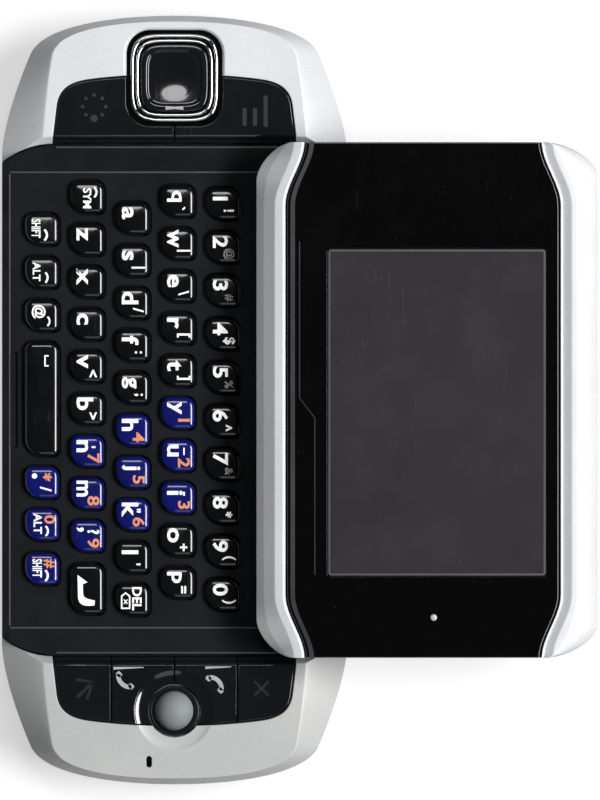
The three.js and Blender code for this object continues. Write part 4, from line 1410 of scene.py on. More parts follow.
@dataclass
class Printer:
    """Makes printed marks as thin solids: letters from the built-in typeface, signs from outlines."""

    thickness: float = 0.09
    weight: float = 0.024
    capital_share: float = 0.729
    tail_share: float = 0.88
    sink_share: float = 0.36
    widening: float = 1.22
    cache: dict[str, Solid] = field(default_factory=dict)

    def letters(self, text: str) -> Solid:
        """The text as a flat solid of unit size, centred on its own middle.

        Args:
            text: what is printed.

        Returns:
            The solid, in units of the typeface's size.
        """
        if text not in self.cache:
            curve = bpy.data.curves.new("mark", "FONT")
            curve.body = text
            curve.size = 1.0
            curve.offset = self.weight
            curve.resolution_u = 3
            curve.align_x = "CENTER"
            piece = bpy.data.objects.new("mark", curve)
            bpy.context.scene.collection.objects.link(piece)
            graph = bpy.context.evaluated_depsgraph_get()
            mesh = piece.evaluated_get(graph).to_mesh()
            points = np.empty(len(mesh.vertices) * 3)
            mesh.vertices.foreach_get("co", points)
            faces = [list(face.vertices) for face in mesh.polygons]
            flat = points.reshape(-1, 3)[:, :2]
            self.cache[text] = self.thickened(flat, faces)
            piece.evaluated_get(graph).to_mesh_clear()
            bpy.data.objects.remove(piece)
            bpy.data.curves.remove(curve)
        return self.cache[text]

    @staticmethod
    def thickened(flat: Array, faces: list[list[int]]) -> Solid:
        """A flat set of faces as a closed plate: a copy below, and walls along the open edges.

        Args:
            flat: the points, as X and Y.
            faces: the faces, anticlockwise from above.

        Returns:
            The plate, with its top at height 1 and its foot at 0.
        """
        count = len(flat)
        edges = np.array([[a, b] for face in faces for a, b in zip(face, face[1:] + face[:1])])
        keys = np.sort(edges, axis=1)
        _, first, times = np.unique(keys, axis=0, return_index=True, return_counts=True)
        rim = edges[first[times == 1]]
        walls = np.column_stack([rim[:, 1] + count, rim[:, 0] + count, rim[:, 0], rim[:, 1]]).tolist()
        upper = [[corner + count for corner in face] for face in faces]
        lower = [face[::-1] for face in faces]
        low = lifted(flat, 0.0)
        solid_faces = lower + upper + walls
        return Solid(np.vstack([low, lifted(flat, 1.0)]), solid_faces, [0] * len(solid_faces))

    def printed(self, mark: Mark, crown: Callable[[Array, Array], Array]) -> Solid:
        """A mark laid on a key's crown: its height 0 goes just under it and its height 1 just over it.

        Args:
            mark: the mark.
            crown: the crown's height at X and Y from the key's middle.

        Returns:
            The mark's solid, with its ink's finish number.
        """
        if mark.text in SIGNS:
            base = joined([prism(outline * mark.height, 0.0, 1.0) for outline in SIGNS[mark.text]])
        else:
            letters = self.letters(mark.text)
            single = len(mark.text) == 1
            small = single and mark.text.islower()
            size = mark.height / self.capital_share
            size *= self.tail_share if small and mark.text in TAILED_LETTERS else 1.0
            widened = single and mark.text.isalnum() and mark.text not in WIDE_LETTERS
            wide = size * (self.widening if widened else mark.squeeze)
            base = letters.shaped(letters.points * [wide, size, 1.0])
            x, y = (base.points.min(axis=0) + base.points.max(axis=0))[:2] / 2
            base = base.moved(-x, -y, 0.0)
            if small:
                base = base.moved(0.0, -base.points[:, 1].min() - mark.height * self.sink_share, 0.0)
        base = base.moved(mark.right, mark.up, 0.0)
        x, y, z = base.points.T
        laid = base.shaped(np.column_stack([x, y, crown(x, y) + (z - 0.5) * self.thickness]))
        return laid.painted(mark.ink.value)


def stroke(points: Sequence[Sequence[float]], width: float) -> Array:
    """An open line as an outline of one width: each point moved both ways along its normal.

    Args:
        points: the line's points.
        width: how wide it is.

    Returns:
        The outline, anticlockwise.
    """
    path = np.asarray(points, float)
    way = np.gradient(path, axis=0)
    way /= np.linalg.norm(way, axis=1, keepdims=True)
    normal = np.column_stack([-way[:, 1], way[:, 0]]) * width / 2
    return np.vstack([path - normal, (path + normal)[::-1]])


def drawn_signs() -> dict[str, list[Array]]:
    """The outlines of each drawn sign, at a height of about one unit but for the enter arrow."""
    foot = bezier([[1.5, -1.55], [2.6, -1.45], [3.1, -0.7], [2.8, 1.25]], 8)
    inner = bezier([[1.95, 1.3], [1.75, 0.0], [1.6, -0.6], [0.8, -0.7]], 6)
    arrow = np.vstack([[-2.35, -1.65], foot, inner, [[-0.8, -0.74], [-1.1, 0.05]]])
    half = np.array([[0.8, -0.5], [0.8, 0.1], [0.6, 0.1], [0.6, -0.3]])
    bracket = np.vstack([half, mirrored(half, -1, 1)])
    outside = [[-0.9, 0.0], [-0.5, 0.5], [0.9, 0.5], [0.9, 0.0]]
    upper = np.array([*outside, [0.74, 0.0], [0.74, 0.34], [-0.42, 0.34], [-0.7, 0.0]])
    cross = [stroke([(-0.1, -0.18 * way), (0.35, 0.18 * way)], 0.12) for way in (1, -1)]
    angle = np.linspace(0.7, math.pi - 0.7, 9)
    arc = stroke(np.column_stack([np.cos(angle), np.sin(angle) - 0.8]), 0.3)
    return {
        "enter-sign": [arrow],
        "dot-sign": [circle(0.5, count=20)],
        "space-sign": [bracket],
        "box-sign": [upper, mirrored(upper, 1, -1), *cross],
        "arc-sign": [arc],
    }


SIGNS = drawn_signs()


@dataclass
class Keyboard:
    """The keys, their printing, the mat that carries the number and function keys, and the deck."""

    bench: Bench
    printer: Printer
    pitch: float = 7.16
    digit_pitch: float = 7.34
    bottom_pitch: float = 7.22
    row_pitch: float = 7.65
    first_row: float = 8.2
    length: float = 5.35
    width: float = 5.7
    enter_length: float = 8.5
    space_length: float = 19.2
    top: float = 12.0
    bottom: float = 9.6
    mat_low: float = 8.3
    mat_high: float = 9.0
    mat_margin: float = 0.8
    shoulder: float = 0.9
    shoulder_drop: float = 0.62
    dome: float = 0.13
    dome_shares: tuple = (0.8, 0.55, 0.3, 0.06)
    letter_shares: tuple = (0.5, 0.17, 0.3, 0.24)
    digit_shares: tuple = (0.5, 0.17, 0.44, 0.24)
    deck_half: float = 43.0
    ramp_run: float = 4.5
    ramp_height: float = 11.6
    lip: float = 1.3
    edge_reach: float = 0.5
    slot_size: Pair = (16.3, 1.1)
    slot_edge: float = 2.1
    slot_depth: float = 0.5
    slot_round: float = 0.12
    end_ridge: float = 40.0
    crease_ridge: float = 0.32
    fine_ridge: float = 0.3
    ridge_margin: float = 2.8
    ridge_rise: float = 0.13
    ridge_root: float = 0.4
    ridge_flat: float = 0.03
    ramp_sink: float = 0.1
    collar: Pair = (21.3, 5.7)
    edge: float = 0.28

    def spots(self) -> list[KeySpot]:
        """Every key on the deck: four even rows, the long key that ends the fourth, and the front row."""
        rows = [("1234567890", -4.52), ("qwertyuiop", -4.69)]
        rows += [([*"asdfghjkl", "delete"], -4.29), (["symbol", *"zxcvbnm", "comma"], -4.79)]
        keys = []
        for number, (names, start) in enumerate(rows):
            pitch = self.pitch if number else self.digit_pitch
            shares = self.letter_shares if number else self.digit_shares
            radii = tuple(min(self.length, self.width) * share for share in shares)
            y = self.first_row - number * self.row_pitch
            for place, name in enumerate(names):
                keys.append(KeySpot(name, (start + place) * pitch, y, self.length, radii))
        keys.append(KeySpot("enter", 4.455 * self.pitch, y, self.enter_length, radii))
        bottom = {"left_shift": -4, "left_alt": -2.99, "at": -1.98, "space": -0.03}
        bottom |= {"period": 1.93, "right_alt": 2.92, "right_shift": 3.95}
        for name, share in bottom.items():
            length = self.space_length if name == "space" else self.length
            keys.append(KeySpot(name, share * self.bottom_pitch, y - self.row_pitch, length, radii))
        return keys

    def crown(self, spot: KeySpot, x: Array, y: Array) -> Array:
        """The height of a key's top at places from its middle: t - d((x / a)^2 + (y / b)^2)."""
        return self.top - self.dome * ((x / (spot.length / 2)) ** 2 + (y / (self.width / 2)) ** 2)

    def surface(self, spot: KeySpot, x: Array, y: Array) -> Array:
        """The crown less d(1 - sin a), where the distance to the nearest side is s(1 - cos a).

        Args:
            spot: the key.
            x: places along it, from its middle.
            y: places across it.

        Returns:
            The height of the top with its shoulder.
        """
        inset = np.minimum(spot.length / 2 - np.abs(x), self.width / 2 - np.abs(y))
        cosine = 1 - np.clip(inset / self.shoulder, 0, 1)
        return self.crown(spot, x, y) - self.shoulder_drop * (1 - np.sqrt(1 - cosine**2))

    def cap(self, spot: KeySpot, foot: float) -> Solid:
        """A key's cap about its own middle: a wall, a rounded shoulder and a domed top.

        The shoulder's inset is s(1 - cos a) and its drop d(1 - sin a). Inside it the outline shrinks
        towards the middle, and every point takes the crown's height.

        Args:
            spot: the key.
            foot: the height of its foot.

        Returns:
            The cap.
        """
        crown = partial(self.crown, spot)
        angle = np.linspace(0, QUARTER, 7)
        insets = self.shoulder * (1 - np.cos(angle))
        drops = self.shoulder_drop * (1 - np.sin(angle))
        outlines = [rounded(spot.length, self.width, spot.radii, grow=-inset, steps=7) for inset in insets]
        rings = [lifted(outlines[0], foot)]
        rings += [lifted(line, crown(*line.T) - drop) for line, drop in zip(outlines, drops)]
        inner = [outlines[-1] * share for share in self.dome_shares]
        return skin(np.stack(rings + [lifted(line, crown(*line.T)) for line in inner]))

    def key(self, spot: KeySpot, foot: float) -> Solid:
        """A key's cap with its marks, at its place on the deck."""
        surface = partial(self.surface, spot)
        marks = [self.printer.printed(mark, surface) for mark in marks_of(spot.name)]
        return joined([self.cap(spot, foot), *marks]).moved(spot.x, spot.y, 0.0)

    def letters(self) -> None:
        """The letter keys, each on its own body."""
        for spot in filter(lambda spot: spot.is_letter, self.spots()):
            name = f"key_{spot.name}"
            plastic = "key_blue" if spot.name in BLUE_KEYS else "key_black"
            solid = self.key(spot, self.bottom)
            self.bench.make(f"{name}_cap", solid, name, plastic, [plastic, *INK_FINISHES], [name])

    def fixed(self) -> None:
        """The number and function keys with the mat under them, as one piece on the handset."""
        spots = [spot for spot in self.spots() if not spot.is_letter]
        low = spots[-1].y - self.width / 2 - self.mat_margin
        high = self.first_row + self.width / 2 + self.mat_margin
        corner = self.mat_margin * 2
        reach = max(abs(spot.x) + spot.length / 2 for spot in spots) + corner
        mat = rounded(reach * 2, high - low, corner, (0, (low + high) / 2))
        solids = [prism(mat, self.mat_low, self.mat_high).painted(MAT_FINISH)]
        for spot in spots:
            solid = self.key(spot, self.mat_high)
            if spot.name in BLUE_KEYS:
                solid.finishes = [number or BLUE_FINISH for number in solid.finishes]
            solids.append(solid)
        finishes = ["key_black", *INK_FINISHES, "key_rubber", "key_blue"]
        self.bench.make("keypad", joined(solids), "handset", "key_rubber", finishes, ["keymat"])

    def deck(self) -> None:
        """The deck: a plate with ramps at its ends, eased key holes, fine ridges painted lighter as painted
        highlights, and a slot in front.
        """
        half, crease = self.deck_half, self.deck_half - self.ramp_run
        face, low, reach = BODY.deck_height, BODY.parting - OVERRUN, BODY.width / 2
        path = [(-half, BODY.parting), (half, BODY.parting), (half, self.ramp_height), (crease, face)]
        x, z = np.array([*path, (-crease, face), (-half, self.ramp_height)]).T
        stock = skin(np.stack([np.column_stack([x, np.full(len(x), y), z]) for y in (reach, -reach)]))
        cutters = []
        for spot in self.spots():
            hole = rounded(spot.length, self.width, spot.radii, (spot.x, spot.y), BODY.key_gap, 7)
            cutters.append(eased_cutter(hole, low, face, self.edge))
        slot = rounded(*self.slot_size, self.slot_size[1] / 2, (0, self.slot_edge - reach))
        cutters.append(eased_cutter(slot, face - self.slot_depth, face, self.slot_round))
        centre, radius = self.collar
        cutters.append(prism(circle(radius, (0, centre)), low, face + OVERRUN * 2))
        steps = [
            # The ridges take the lighter charcoal: painted highlight lines.
            (Cut.JOIN, joined(self.ridges(crease, face)).painted(1)),
            (Cut.KEEP, prism(BODY.well(half), low, self.ramp_height + OVERRUN)),
            (Cut.KEEP, BODY.crown(self.edge_reach)),
            (Cut.AWAY, joined(cutters)),
        ]
        piece = self.bench.cut("deck", stock, steps)
        finishes = ["deck_charcoal", "deck_edge"]
        self.bench.fit(piece, "handset", "deck_charcoal", finishes, ["keyboard_deck"])

    def ridges(self, crease: float, face: float) -> list[Solid]:
        """The deck's fine lines: along both creases, along both ends and along the front lip.

        Args:
            crease: how far each crease is from the middle.
            face: the height of the deck's flat.

        Returns:
            The lines.
        """
        reach, fine = BODY.width / 2, self.fine_ridge
        end, top = self.deck_half - fine, self.ramp_height - self.ramp_sink
        long = reach * 2 - self.ridge_margin
        solids = [self.ridge((side * crease, 0.0), self.crease_ridge, long, face) for side in (-1, 1)]
        solids += [self.ridge((side * end, 0.0), fine, self.end_ridge, top) for side in (-1, 1)]
        return [*solids, self.ridge((0.0, self.lip - reach), crease * 2 - fine * 2, fine, face)]

    def ridge(self, place: Sequence[float], length: float, width: float, height: float) -> Solid:
        """A fine raised line on the deck, with a rounded top.

        Args:
            place: its middle.
            length: its size along X.
            width: its size along Y.
            height: the height that it stands on.

        Returns:
            The ridge.
        """
        edge = min(length, width) / 2 - self.ridge_flat
        corners = CORNERS * [length / 2, width / 2] + np.asarray(place)
        return softened(corners, height - self.ridge_root, height + self.ridge_rise, edge)

    def build(self) -> None:
        """Builds the deck and all keys."""
        self.deck()
        self.fixed()
        self.letters()


INK_FINISHES = ("ink_white", "ink_orange", "ink_grey")
MAT_FINISH, BLUE_FINISH = 4, 5
BLUE_KEYS = ("y", "u", "i", "h", "j", "k", "n", "m", "comma", "period", "right_alt", "right_shift")
SECOND_MARKS = dict(zip("1234567890qwertopsdfglvb", "!@#$%^&*()`|\\[]+=|/:;'<>"))
ORANGE_DIGITS = dict(zip(("y", "u", "i", "h", "j", "k", "n", "m", "comma"), "123456789"))
UPPER_LEFT_MARKS = {"k": '"', "n": "'", "comma": "?", "i": "-", "u": "_"}
SPECIAL_MARKS: dict[str, list[Mark]] = {
    "comma": [Mark(",", -1.1, -1.2, 3.0)],
    "period": [
        Mark("dot-sign", -1.1, -1.25, 0.9),
        Mark("*", -0.9, 0.95, 2.3, Ink.ORANGE),
        Mark("/", 1.1, 0.65, 1.9),
    ],
    "right_alt": [
        Mark("ALT", -0.2, -0.7, 1.4),
        Mark("0", -0.9, 1.3, 1.8, Ink.ORANGE),
        Mark("arc-sign", 1.05, 0.8, 1.1),
    ],
    "right_shift": [
        Mark("SHIFT", -0.1, -0.8, 1.6, squeeze=0.57),
        Mark("#", -0.9, 1.2, 1.8, Ink.ORANGE),
        Mark("arc-sign", 1.15, 0.75, 1.2),
    ],
    "left_shift": [Mark("SHIFT", -0.1, -1.0, 1.5, squeeze=0.61), Mark("arc-sign", 1.0, 0.6, 1.2)],
    "left_alt": [Mark("ALT", -0.1, -0.9, 1.3), Mark("arc-sign", 0.9, 0.75, 1.1)],
    "at": [Mark("@", -0.6, -0.55, 1.75), Mark("arc-sign", 1.0, 1.1, 1.0)],
    "space": [Mark("space-sign", -6.4, 1.0, 1.2)],
    "symbol": [Mark("SYM", 0.2, 0.0, 1.4), Mark("arc-sign", -0.8, 1.35, 1.1)],
    "delete": [Mark("DEL", -0.15, 0.75, 1.6, squeeze=1.05), Mark("box-sign", 0.15, -1.15, 1.6)],
    "enter": [Mark("enter-sign", 0.0, 0.0, 1.0)],
}
GREY_MARKS = "@#%&"


def marks_of(name: str) -> list[Mark]:
    """What is printed on a key.

    Args:
        name: the key's name.

    Returns:
        Its marks.
    """
    marks = list(SPECIAL_MARKS.get(name, []))
    if len(name) == 1:
        digit = name.isdigit()
        place = (-0.85, -0.45, 2.5) if digit else (-0.85, -0.8, 2.8)
        marks.append(Mark(name, *place))
        if name in SECOND_MARKS:
            second = SECOND_MARKS[name]
            ink = Ink.GREY if digit and second in GREY_MARKS else Ink.WHITE
            marks.append(Mark(second, 1.2, 1.0, 1.4 if second in GREY_MARKS else 1.75, ink))
    if name in ORANGE_DIGITS:
        marks.append(Mark(ORANGE_DIGITS[name], 1.2, 1.05, 2.0, Ink.ORANGE))
    if name in UPPER_LEFT_MARKS:
        text = UPPER_LEFT_MARKS[name]
        marks.append(Mark(text, -0.7, 1.05, 2.0 if text == "?" else 1.6))
    return marks


# Marks on the caps' keys


def handset_sign(turn: float, lift: float) -> list[Array]:
    """A small telephone handset: a thick bow between two pads, turned by an angle.

    Args:
        turn: how far it turns anticlockwise.
        lift: how far the pads hang below the bow's ends.

    Returns:
        Its outlines, about two units long.
    """
    angle = np.linspace(0.35, math.pi - 0.35, 11)
    bow = stroke(np.column_stack([np.cos(angle), np.sin(angle) * 0.75 - 0.4]), 0.46)
    pads = [rounded(0.6, 0.5, 0.14, (side * 0.9, lift), steps=3) for side in (-1, 1)]
    return [spun(outline, turn) for outline in (bow, *pads)]


def spun(outline: Array, turn: float) -> Array:
    """The outline turned anticlockwise about the origin."""
    cosine, sine = math.cos(turn), math.sin(turn)
    return outline @ np.array([[cosine, sine], [-sine, cosine]])


def wedge(start: Sequence[float], end: Sequence[float], width: float) -> Array:
    """A bar that tapers from its full width at the start to a third of it at the end, along Y.

    Args:
        start: the middle of its wide end.
        end: a place at its narrow end, of which only Y counts.
        width: its full width.

    Returns:
        The outline, anticlockwise.
    """
    (x, low), (_, high) = start, end
    left, right = x - width / 2, x + width / 2
    outline = np.array([[left, low], [right, low], [left + width / 3, high], [left, high]])
    return outline if high > low else outline[::-1]


def cross_sign(reach: float, arm: float) -> Array:
    """A slanting cross of four arms as one outline of twelve points."""
    corner = np.array([[arm, arm], [arm, reach], [-arm, reach]])
    return spun(np.vstack([spun(corner, QUARTER * arm_number) for arm_number in range(4)]), QUARTER / 2)


@dataclass
class PadMarks:
    """The printing on the caps' gloss keys: fine bars, two handsets and faint signs."""

    bench: Bench
    top: float = 13.1
    proud: float = 0.02
    handset_size: float = 1.6
    handsets: tuple = (
        ("call", QUARTER * 2.5, -0.15, (47.5, -8.5), (45.3, -10.3), (45.3, -5.2), 0.45),
        ("end", QUARTER * 0.5, -0.2, (47.8, 7.0), (45.2, 5.2), (45.2, 9.6), 0.42),
    )
    bars: tuple = ((-47.8, 3.0, 11.84), (-47.8, 3.0, 13.6), (-48.75, 5.3, 15.4))
    bar_width: float = 0.7
    bar_radius: float = 0.2
    dots_centre: Pair = (-49.55, -13.57)
    dots_reach: float = 1.95
    dot_radius: float = 0.3
    big_dot: float = 0.62
    big_dot_place: Pair = (-47.55, -13.57)
    cross: Pair = (1.7, 0.22)
    cross_place: Pair = (48.7, 14.7)
    arrow_head: tuple = ((47.2, -16.6), (47.6, -13.8), (50.6, -14.8))
    arrow_shaft: tuple = ((47.7, -13.9), (50.2, -16.4))
    arrow_width: float = 0.5

    def mark(self, body: str, name: str, outlines: Sequence[Array], finish: str) -> None:
        """One mark: thin plates half sunk into the key that carries it."""
        plates = [prism(outline, self.top - self.proud, self.top + self.proud) for outline in outlines]
        self.bench.make(name, joined(plates), body, "gloss_black", [finish])

    def build(self) -> None:
        """Builds the marks of all six keys."""
        for key, turn, lift, place, start, end, width in self.handsets:
            sign = [outline * self.handset_size + place for outline in handset_sign(turn, lift)]
            self.mark(f"{key}_key", f"{key}_sign", [wedge(start, end, width), *sign], "icon_pale")
        size = (self.bar_width, self.bar_radius)
        bars = [rounded(length, *size, (x, y), steps=3) for x, length, y in self.bars]
        self.mark("menu_key", "menu_bars", bars, "icon_grey")
        places = circle(self.dots_reach, self.dots_centre, 8)[1:]
        dots = [circle(self.dot_radius, place, 16) for place in places]
        dots.append(circle(self.big_dot, self.big_dot_place, 24))
        self.mark("jump_key", "jump_dots", dots, "icon_grey")
        self.mark("ok_key", "ok_sign", [cross_sign(*self.cross) + self.cross_place], "icon_grey")
        arrow = [stroke(path, self.arrow_width) for path in (self.arrow_head, self.arrow_shaft)]
        self.mark("cancel_key", "cancel_sign", arrow, "icon_grey")


# Display pieces


@dataclass
class DisplaySlab:
    """The slab that swivels: back shell, gloss front, two silver rails, screen and lamp."""

    bench: Bench
    centre: float = 42.6
    foot: float = 14.1
    thickness: float = 7.9
    half_length: float = 43.4
    half_width: float = 28.75
    split: float = 4.3
    floor: float = 1.8
    wall: float = 1.4
    back_round: float = 1.2
    seam: float = 0.15
    lower_corner: Pair = (6.4, 6.1)
    upper_corner: Pair = (5.4, 8.3)
    corner_power: float = 1.65
    flare_length: float = 10.6
    flare_rise: float = 3.2
    middle_reach: float = 30.0
    least_station: float = 0.004
    lower_width: float = 4.9
    lower_slope: float = 4.5
    lower_grade: float = 0.9
    lower_ease: float = 0.16
    step_width: float = 1.4
    step_share: float = 0.35
    step_drop: float = 0.3
    bend: Pair = (0.6, 0.54)
    least_lip: float = 0.1
    least_wall: float = 0.3
    lip_drop: float = 0.24
    upper_width: float = 6.3
    upper_slope: float = 4.4
    upper_drop: float = 3.0
    upper_turns: tuple = (80, 66, 52, 38, 24, 12)
    upper_groove: tuple = ((0.19, 0.85), (0.1, 0.55), (0.0, 0.62))
    upper_ease: float = 0.2
    rail_gap: float = 0.3
    bezel_top: float = 7.6
    bezel_edge: float = 0.22
    opening_edge: float = 0.12
    proud: float = 0.02
    screen_size: Pair = (54.9, 36.6)
    screen_place: Pair = (2.1, 1.65)
    screen_radius: float = 0.5
    screen_low: float = 6.5
    screen_top: float = 7.5
    screen_edge: float = 0.06
    border: float = 0.35
    lamp_place: Pair = (36.6, 1.1)
    lamp_radius: float = 0.65
    lamp_depth: float = 0.5
    lamp_gaps: Pair = (0.08, 0.05)
    lamp_wall: float = 0.4
    lamp_rise: float = 0.25
    line_path: tuple = ((-26.7, 21.13), (-0.34, 21.13), (3.04, 23.7), (29.4, 23.7))
    line_width: float = 0.16
    band_inset: float = 0.55
    band_width: float = 0.75
    pivot: float = -21.3
    seat_radius: float = 5.9
    seat_depth: float = 0.9
    shaft_bore: float = 1.8

    def placed(self, solid: Solid) -> Solid:
        """The solid moved from the slab's own middle to its place on the handset."""
        return solid.moved(0.0, self.centre, self.foot)

    def carved(self, name: str, base: Solid, steps: Sequence[tuple[Cut, Solid]]) -> bpy.types.Object:
        """A solid carved about the slab's own middle, then moved to its place on the handset."""
        piece = self.bench.cut(name, base, steps)
        piece.data.transform(mathutils.Matrix.Translation(np.array([0.0, self.centre, self.foot]) * MM))
        return piece

    def draw_in(self, x: Array, corner: Pair) -> Array:
        """How far a long edge is drawn in near its ends: r(1 - (1 - s^p)^(1/p)) over the corner.

        Args:
            x: places along the slab.
            corner: the corner's length and rise.

        Returns:
            The distances.
        """
        length, rise = corner
        share = np.clip((np.abs(x) - (self.half_length - length)) / length, 0, 1)
        return rise * (1 - (1 - share**self.corner_power) ** (1 / self.corner_power))

    def flare(self, x: Array) -> Array:
        """How far the rails sweep over the bezel near the slab's ends."""
        start = self.half_length - self.flare_length
        return self.flare_rise * smooth((np.abs(x) - start) / self.flare_length)

    def stations(self, *lengths: float) -> Array:
        """Places along the slab, closer together towards its ends, for each run of curve.

        Args:
            lengths: how far each run of curve reaches in from the ends.

        Returns:
            The places, in order.
        """
        turn = np.sin(np.linspace(0, 1, 19) * QUARTER)
        right = np.concatenate([self.half_length - length * (1 - turn) for length in lengths])
        middle = np.linspace(-self.middle_reach, self.middle_reach, 13)
        places = np.unique(np.round(np.concatenate([-right, right, middle]), 3))
        return places[np.concatenate([[True], np.diff(places) > self.least_station])]

    def outline(self) -> Array:
        """The slab from above: the lower edge's places forwards, then the upper edge's backwards."""
        low, high = self.stations(self.lower_corner[0]), self.stations(self.upper_corner[0])
        lower = np.column_stack([low, self.draw_in(low, self.lower_corner) - self.half_width])
        upper = np.column_stack([high, self.half_width - self.draw_in(high, self.upper_corner)])
        return np.vstack([lower, upper[::-1]])

    def rail(
        self, end: str, x: Array, corners: Sequence[tuple[Array, Array | float]], radius: float, node: str
    ) -> None:
        """A rail: its corners' places and heights at each station, rounded and joined.

        Args:
            end: near or far, as seen from the keyboard.
            x: the stations along the slab.
            corners: each corner's Y and Z, by station or for all.
            radius: how far the rounding reaches from each corner.
            node: the CAD node that it stands for.
        """
        section = np.stack([np.column_stack(np.broadcast_arrays(y, z, x)[:2]) for y, z in corners], axis=1)
        start = (section[:, :1] + section[:, -1:]) / 2
        loop = np.concatenate([start, section, start], axis=1)
        even = rounded_profile(loop, radius, 5)[:, :-1]
        places = np.broadcast_to(x[:, None, None], (*even.shape[:2], 1))
        solid = self.placed(skin(np.concatenate([places, even], axis=2)))
        fitting = ("display", "silver_plastic", ["silver_lacquer"], [node])
        self.bench.make(f"rail_{end}", solid, *fitting, edge=0.12, sharp=50.0)

    def lower_rail(self) -> None:
        """The rail nearer the keyboard: a steep facet, a shallow one and a lip that faces the screen."""
        x = self.stations(self.flare_length, self.lower_corner[0])
        outer = self.draw_in(x, self.lower_corner) - self.half_width
        inner = self.lower_width - self.half_width + self.flare(x)
        held = np.minimum(self.lower_slope - self.half_width + self.flare(x), inner - self.least_lip)
        held = np.maximum(held, outer + (inner - outer) / 2)
        low, crest = self.split, self.thickness
        middle = np.maximum(held - self.step_width, outer + (held - outer) * self.step_share)
        shelf = crest - self.step_drop
        foot = np.maximum(shelf - self.lower_grade * (middle - outer), low + self.least_wall)
        out, down = self.bend
        bend = (middle + (outer - middle) * out, shelf + (foot - shelf) * down)
        corners = [(outer, low), (inner, low), (inner, crest - self.lip_drop), (held, crest), (middle, shelf)]
        self.rail("near", x, [*corners, bend, (outer, foot)], self.lower_ease, "lower_rail")

    def upper_rail(self) -> None:
        """The far rail: a fine lip, a shallow step and a quarter ellipse down to the outer edge."""
        x = self.stations(self.flare_length, self.upper_corner[0])
        outer = self.half_width - self.draw_in(x, self.upper_corner)
        inner = self.half_width - self.upper_width - self.flare(x)
        slope = np.minimum(self.half_width - self.upper_slope - self.flare(x), inner + (outer - inner) / 2)
        low, crest = self.split, self.thickness
        run, step = outer - slope, slope - inner
        corners = [(inner, low), (outer, low)]
        for a in np.radians(self.upper_turns):
            corners.append((slope + run * math.sin(a), crest - self.upper_drop * (1 - math.cos(a))))
        corners.append((slope, crest))
        corners += [(inner + step * share, crest - drop) for share, drop in self.upper_groove]
        self.rail("far", x, corners, self.upper_ease, "upper_rail")

    def screen_area(self, grow: float) -> Array:
        """The screen's outline about the slab's middle, moved out by some distance."""
        return rounded(*self.screen_size, self.screen_radius, self.screen_place, grow)

    def front(self) -> None:
        """The gloss front: a plate between the rails with the screen's opening, a fine line and a band."""
        x = self.stations(self.flare_length)
        reach, top = self.flare(x), self.bezel_top
        lower = np.column_stack([x, self.lower_width - self.half_width + self.rail_gap + reach])
        upper = np.column_stack([x, self.half_width - self.upper_width - self.rail_gap - reach])
        plate = softened(np.vstack([lower, upper[::-1]]), self.split, top, self.bezel_edge)
        lamp = prism(circle(self.lamp_radius, self.lamp_place, 32), top - self.lamp_depth, top + OVERRUN)
        area = self.screen_area(BODY.fit_gap / 2)
        opening = eased_cutter(area, self.split - OVERRUN, top, self.opening_edge)
        piece = self.carved("gloss_front", plate, [(Cut.AWAY, opening), (Cut.AWAY, lamp)])
        self.bench.fit(piece, "display", "gloss_black", ["gloss_black"], ["display_frame"])
        line = stroke(np.asarray(self.line_path) - [0.0, self.centre], self.line_width)
        edges = [lower + [0.0, self.band_inset + away] for away in (0.0, self.band_width)]
        for name, outline in (("front_line", line), ("front_band", np.vstack([edges[0], edges[1][::-1]]))):
            plate = self.placed(prism(outline, top - self.proud, top + self.proud))
            self.bench.make(name, plate, "display", "gloss_black", ["band_grey"])

    def screen(self) -> None:
        """The screen under its window, with a fine lighter border, and the small lamp's dome."""
        top = self.screen_top
        rows = [(0.0, self.screen_low), (0.0, top - self.screen_edge), (-self.screen_edge, top)]
        solid = loft([(self.screen_area(grow), height) for grow, height in [*rows, (-self.border, top)]])
        solid.finishes[-1] = 1
        finishes = ["screen_border", "screen_grey"]
        self.bench.make("screen", self.placed(solid), "display", "window_clear", finishes, ["screen_window"])
        gap, lift = self.lamp_gaps
        radius, low = self.lamp_radius - gap, self.bezel_top - self.lamp_depth + lift
        angle = np.linspace(0, 1, 7) * QUARTER
        places = np.maximum(radius * np.cos(angle), POLE_RADIUS)
        dome = np.column_stack([places, low + self.lamp_wall + self.lamp_rise * np.sin(angle)])
        lamp = lathe(np.vstack([[(POLE_RADIUS, low), (radius, low)], dome]), self.lamp_place, 32)
        self.bench.make("lamp", self.placed(lamp), "display", "window_clear", ["lamp_grey"])

    def back(self) -> None:
        """The back shell: its outline carried up round a quarter circle, hollow, with the pivot's seat."""
        outline, layers = self.outline(), []
        for a in np.linspace(0, QUARTER, 9):
            inset = self.back_round * (1 - math.sin(a))
            layers.append((offset(outline, -inset), self.back_round * (1 - math.cos(a))))
        layers += [(outline, self.split - self.seam), (offset(outline, -self.seam), self.split)]
        place = (0.0, self.pivot)
        steps = [
            (Cut.AWAY, prism(offset(outline, -self.wall), self.floor, self.split + OVERRUN)),
            (Cut.AWAY, prism(circle(self.seat_radius, place), -OVERRUN, self.seat_depth)),
            (Cut.AWAY, prism(circle(self.shaft_bore, place, 48), -OVERRUN, self.floor + OVERRUN)),
        ]
        piece = self.carved("slab_back", loft(layers), steps)
        self.bench.fit(piece, "display", "dark_shell", ["dark_shell"], ["display_back"])

    def build(self) -> None:
        """Builds every piece of the slab."""
        self.back()
        self.lower_rail()
        self.upper_rail()
        self.front()
        self.screen()


KEPT_FINISHES = {"battery": "battery_grey", "main_board": "board_green", "lcd_panel": "screen_grey"}
KEPT_FINISHES |= dict.fromkeys(("usb_socket", "hinge_base_plate", "hinge_shaft", "hinge_washer"), "steel")


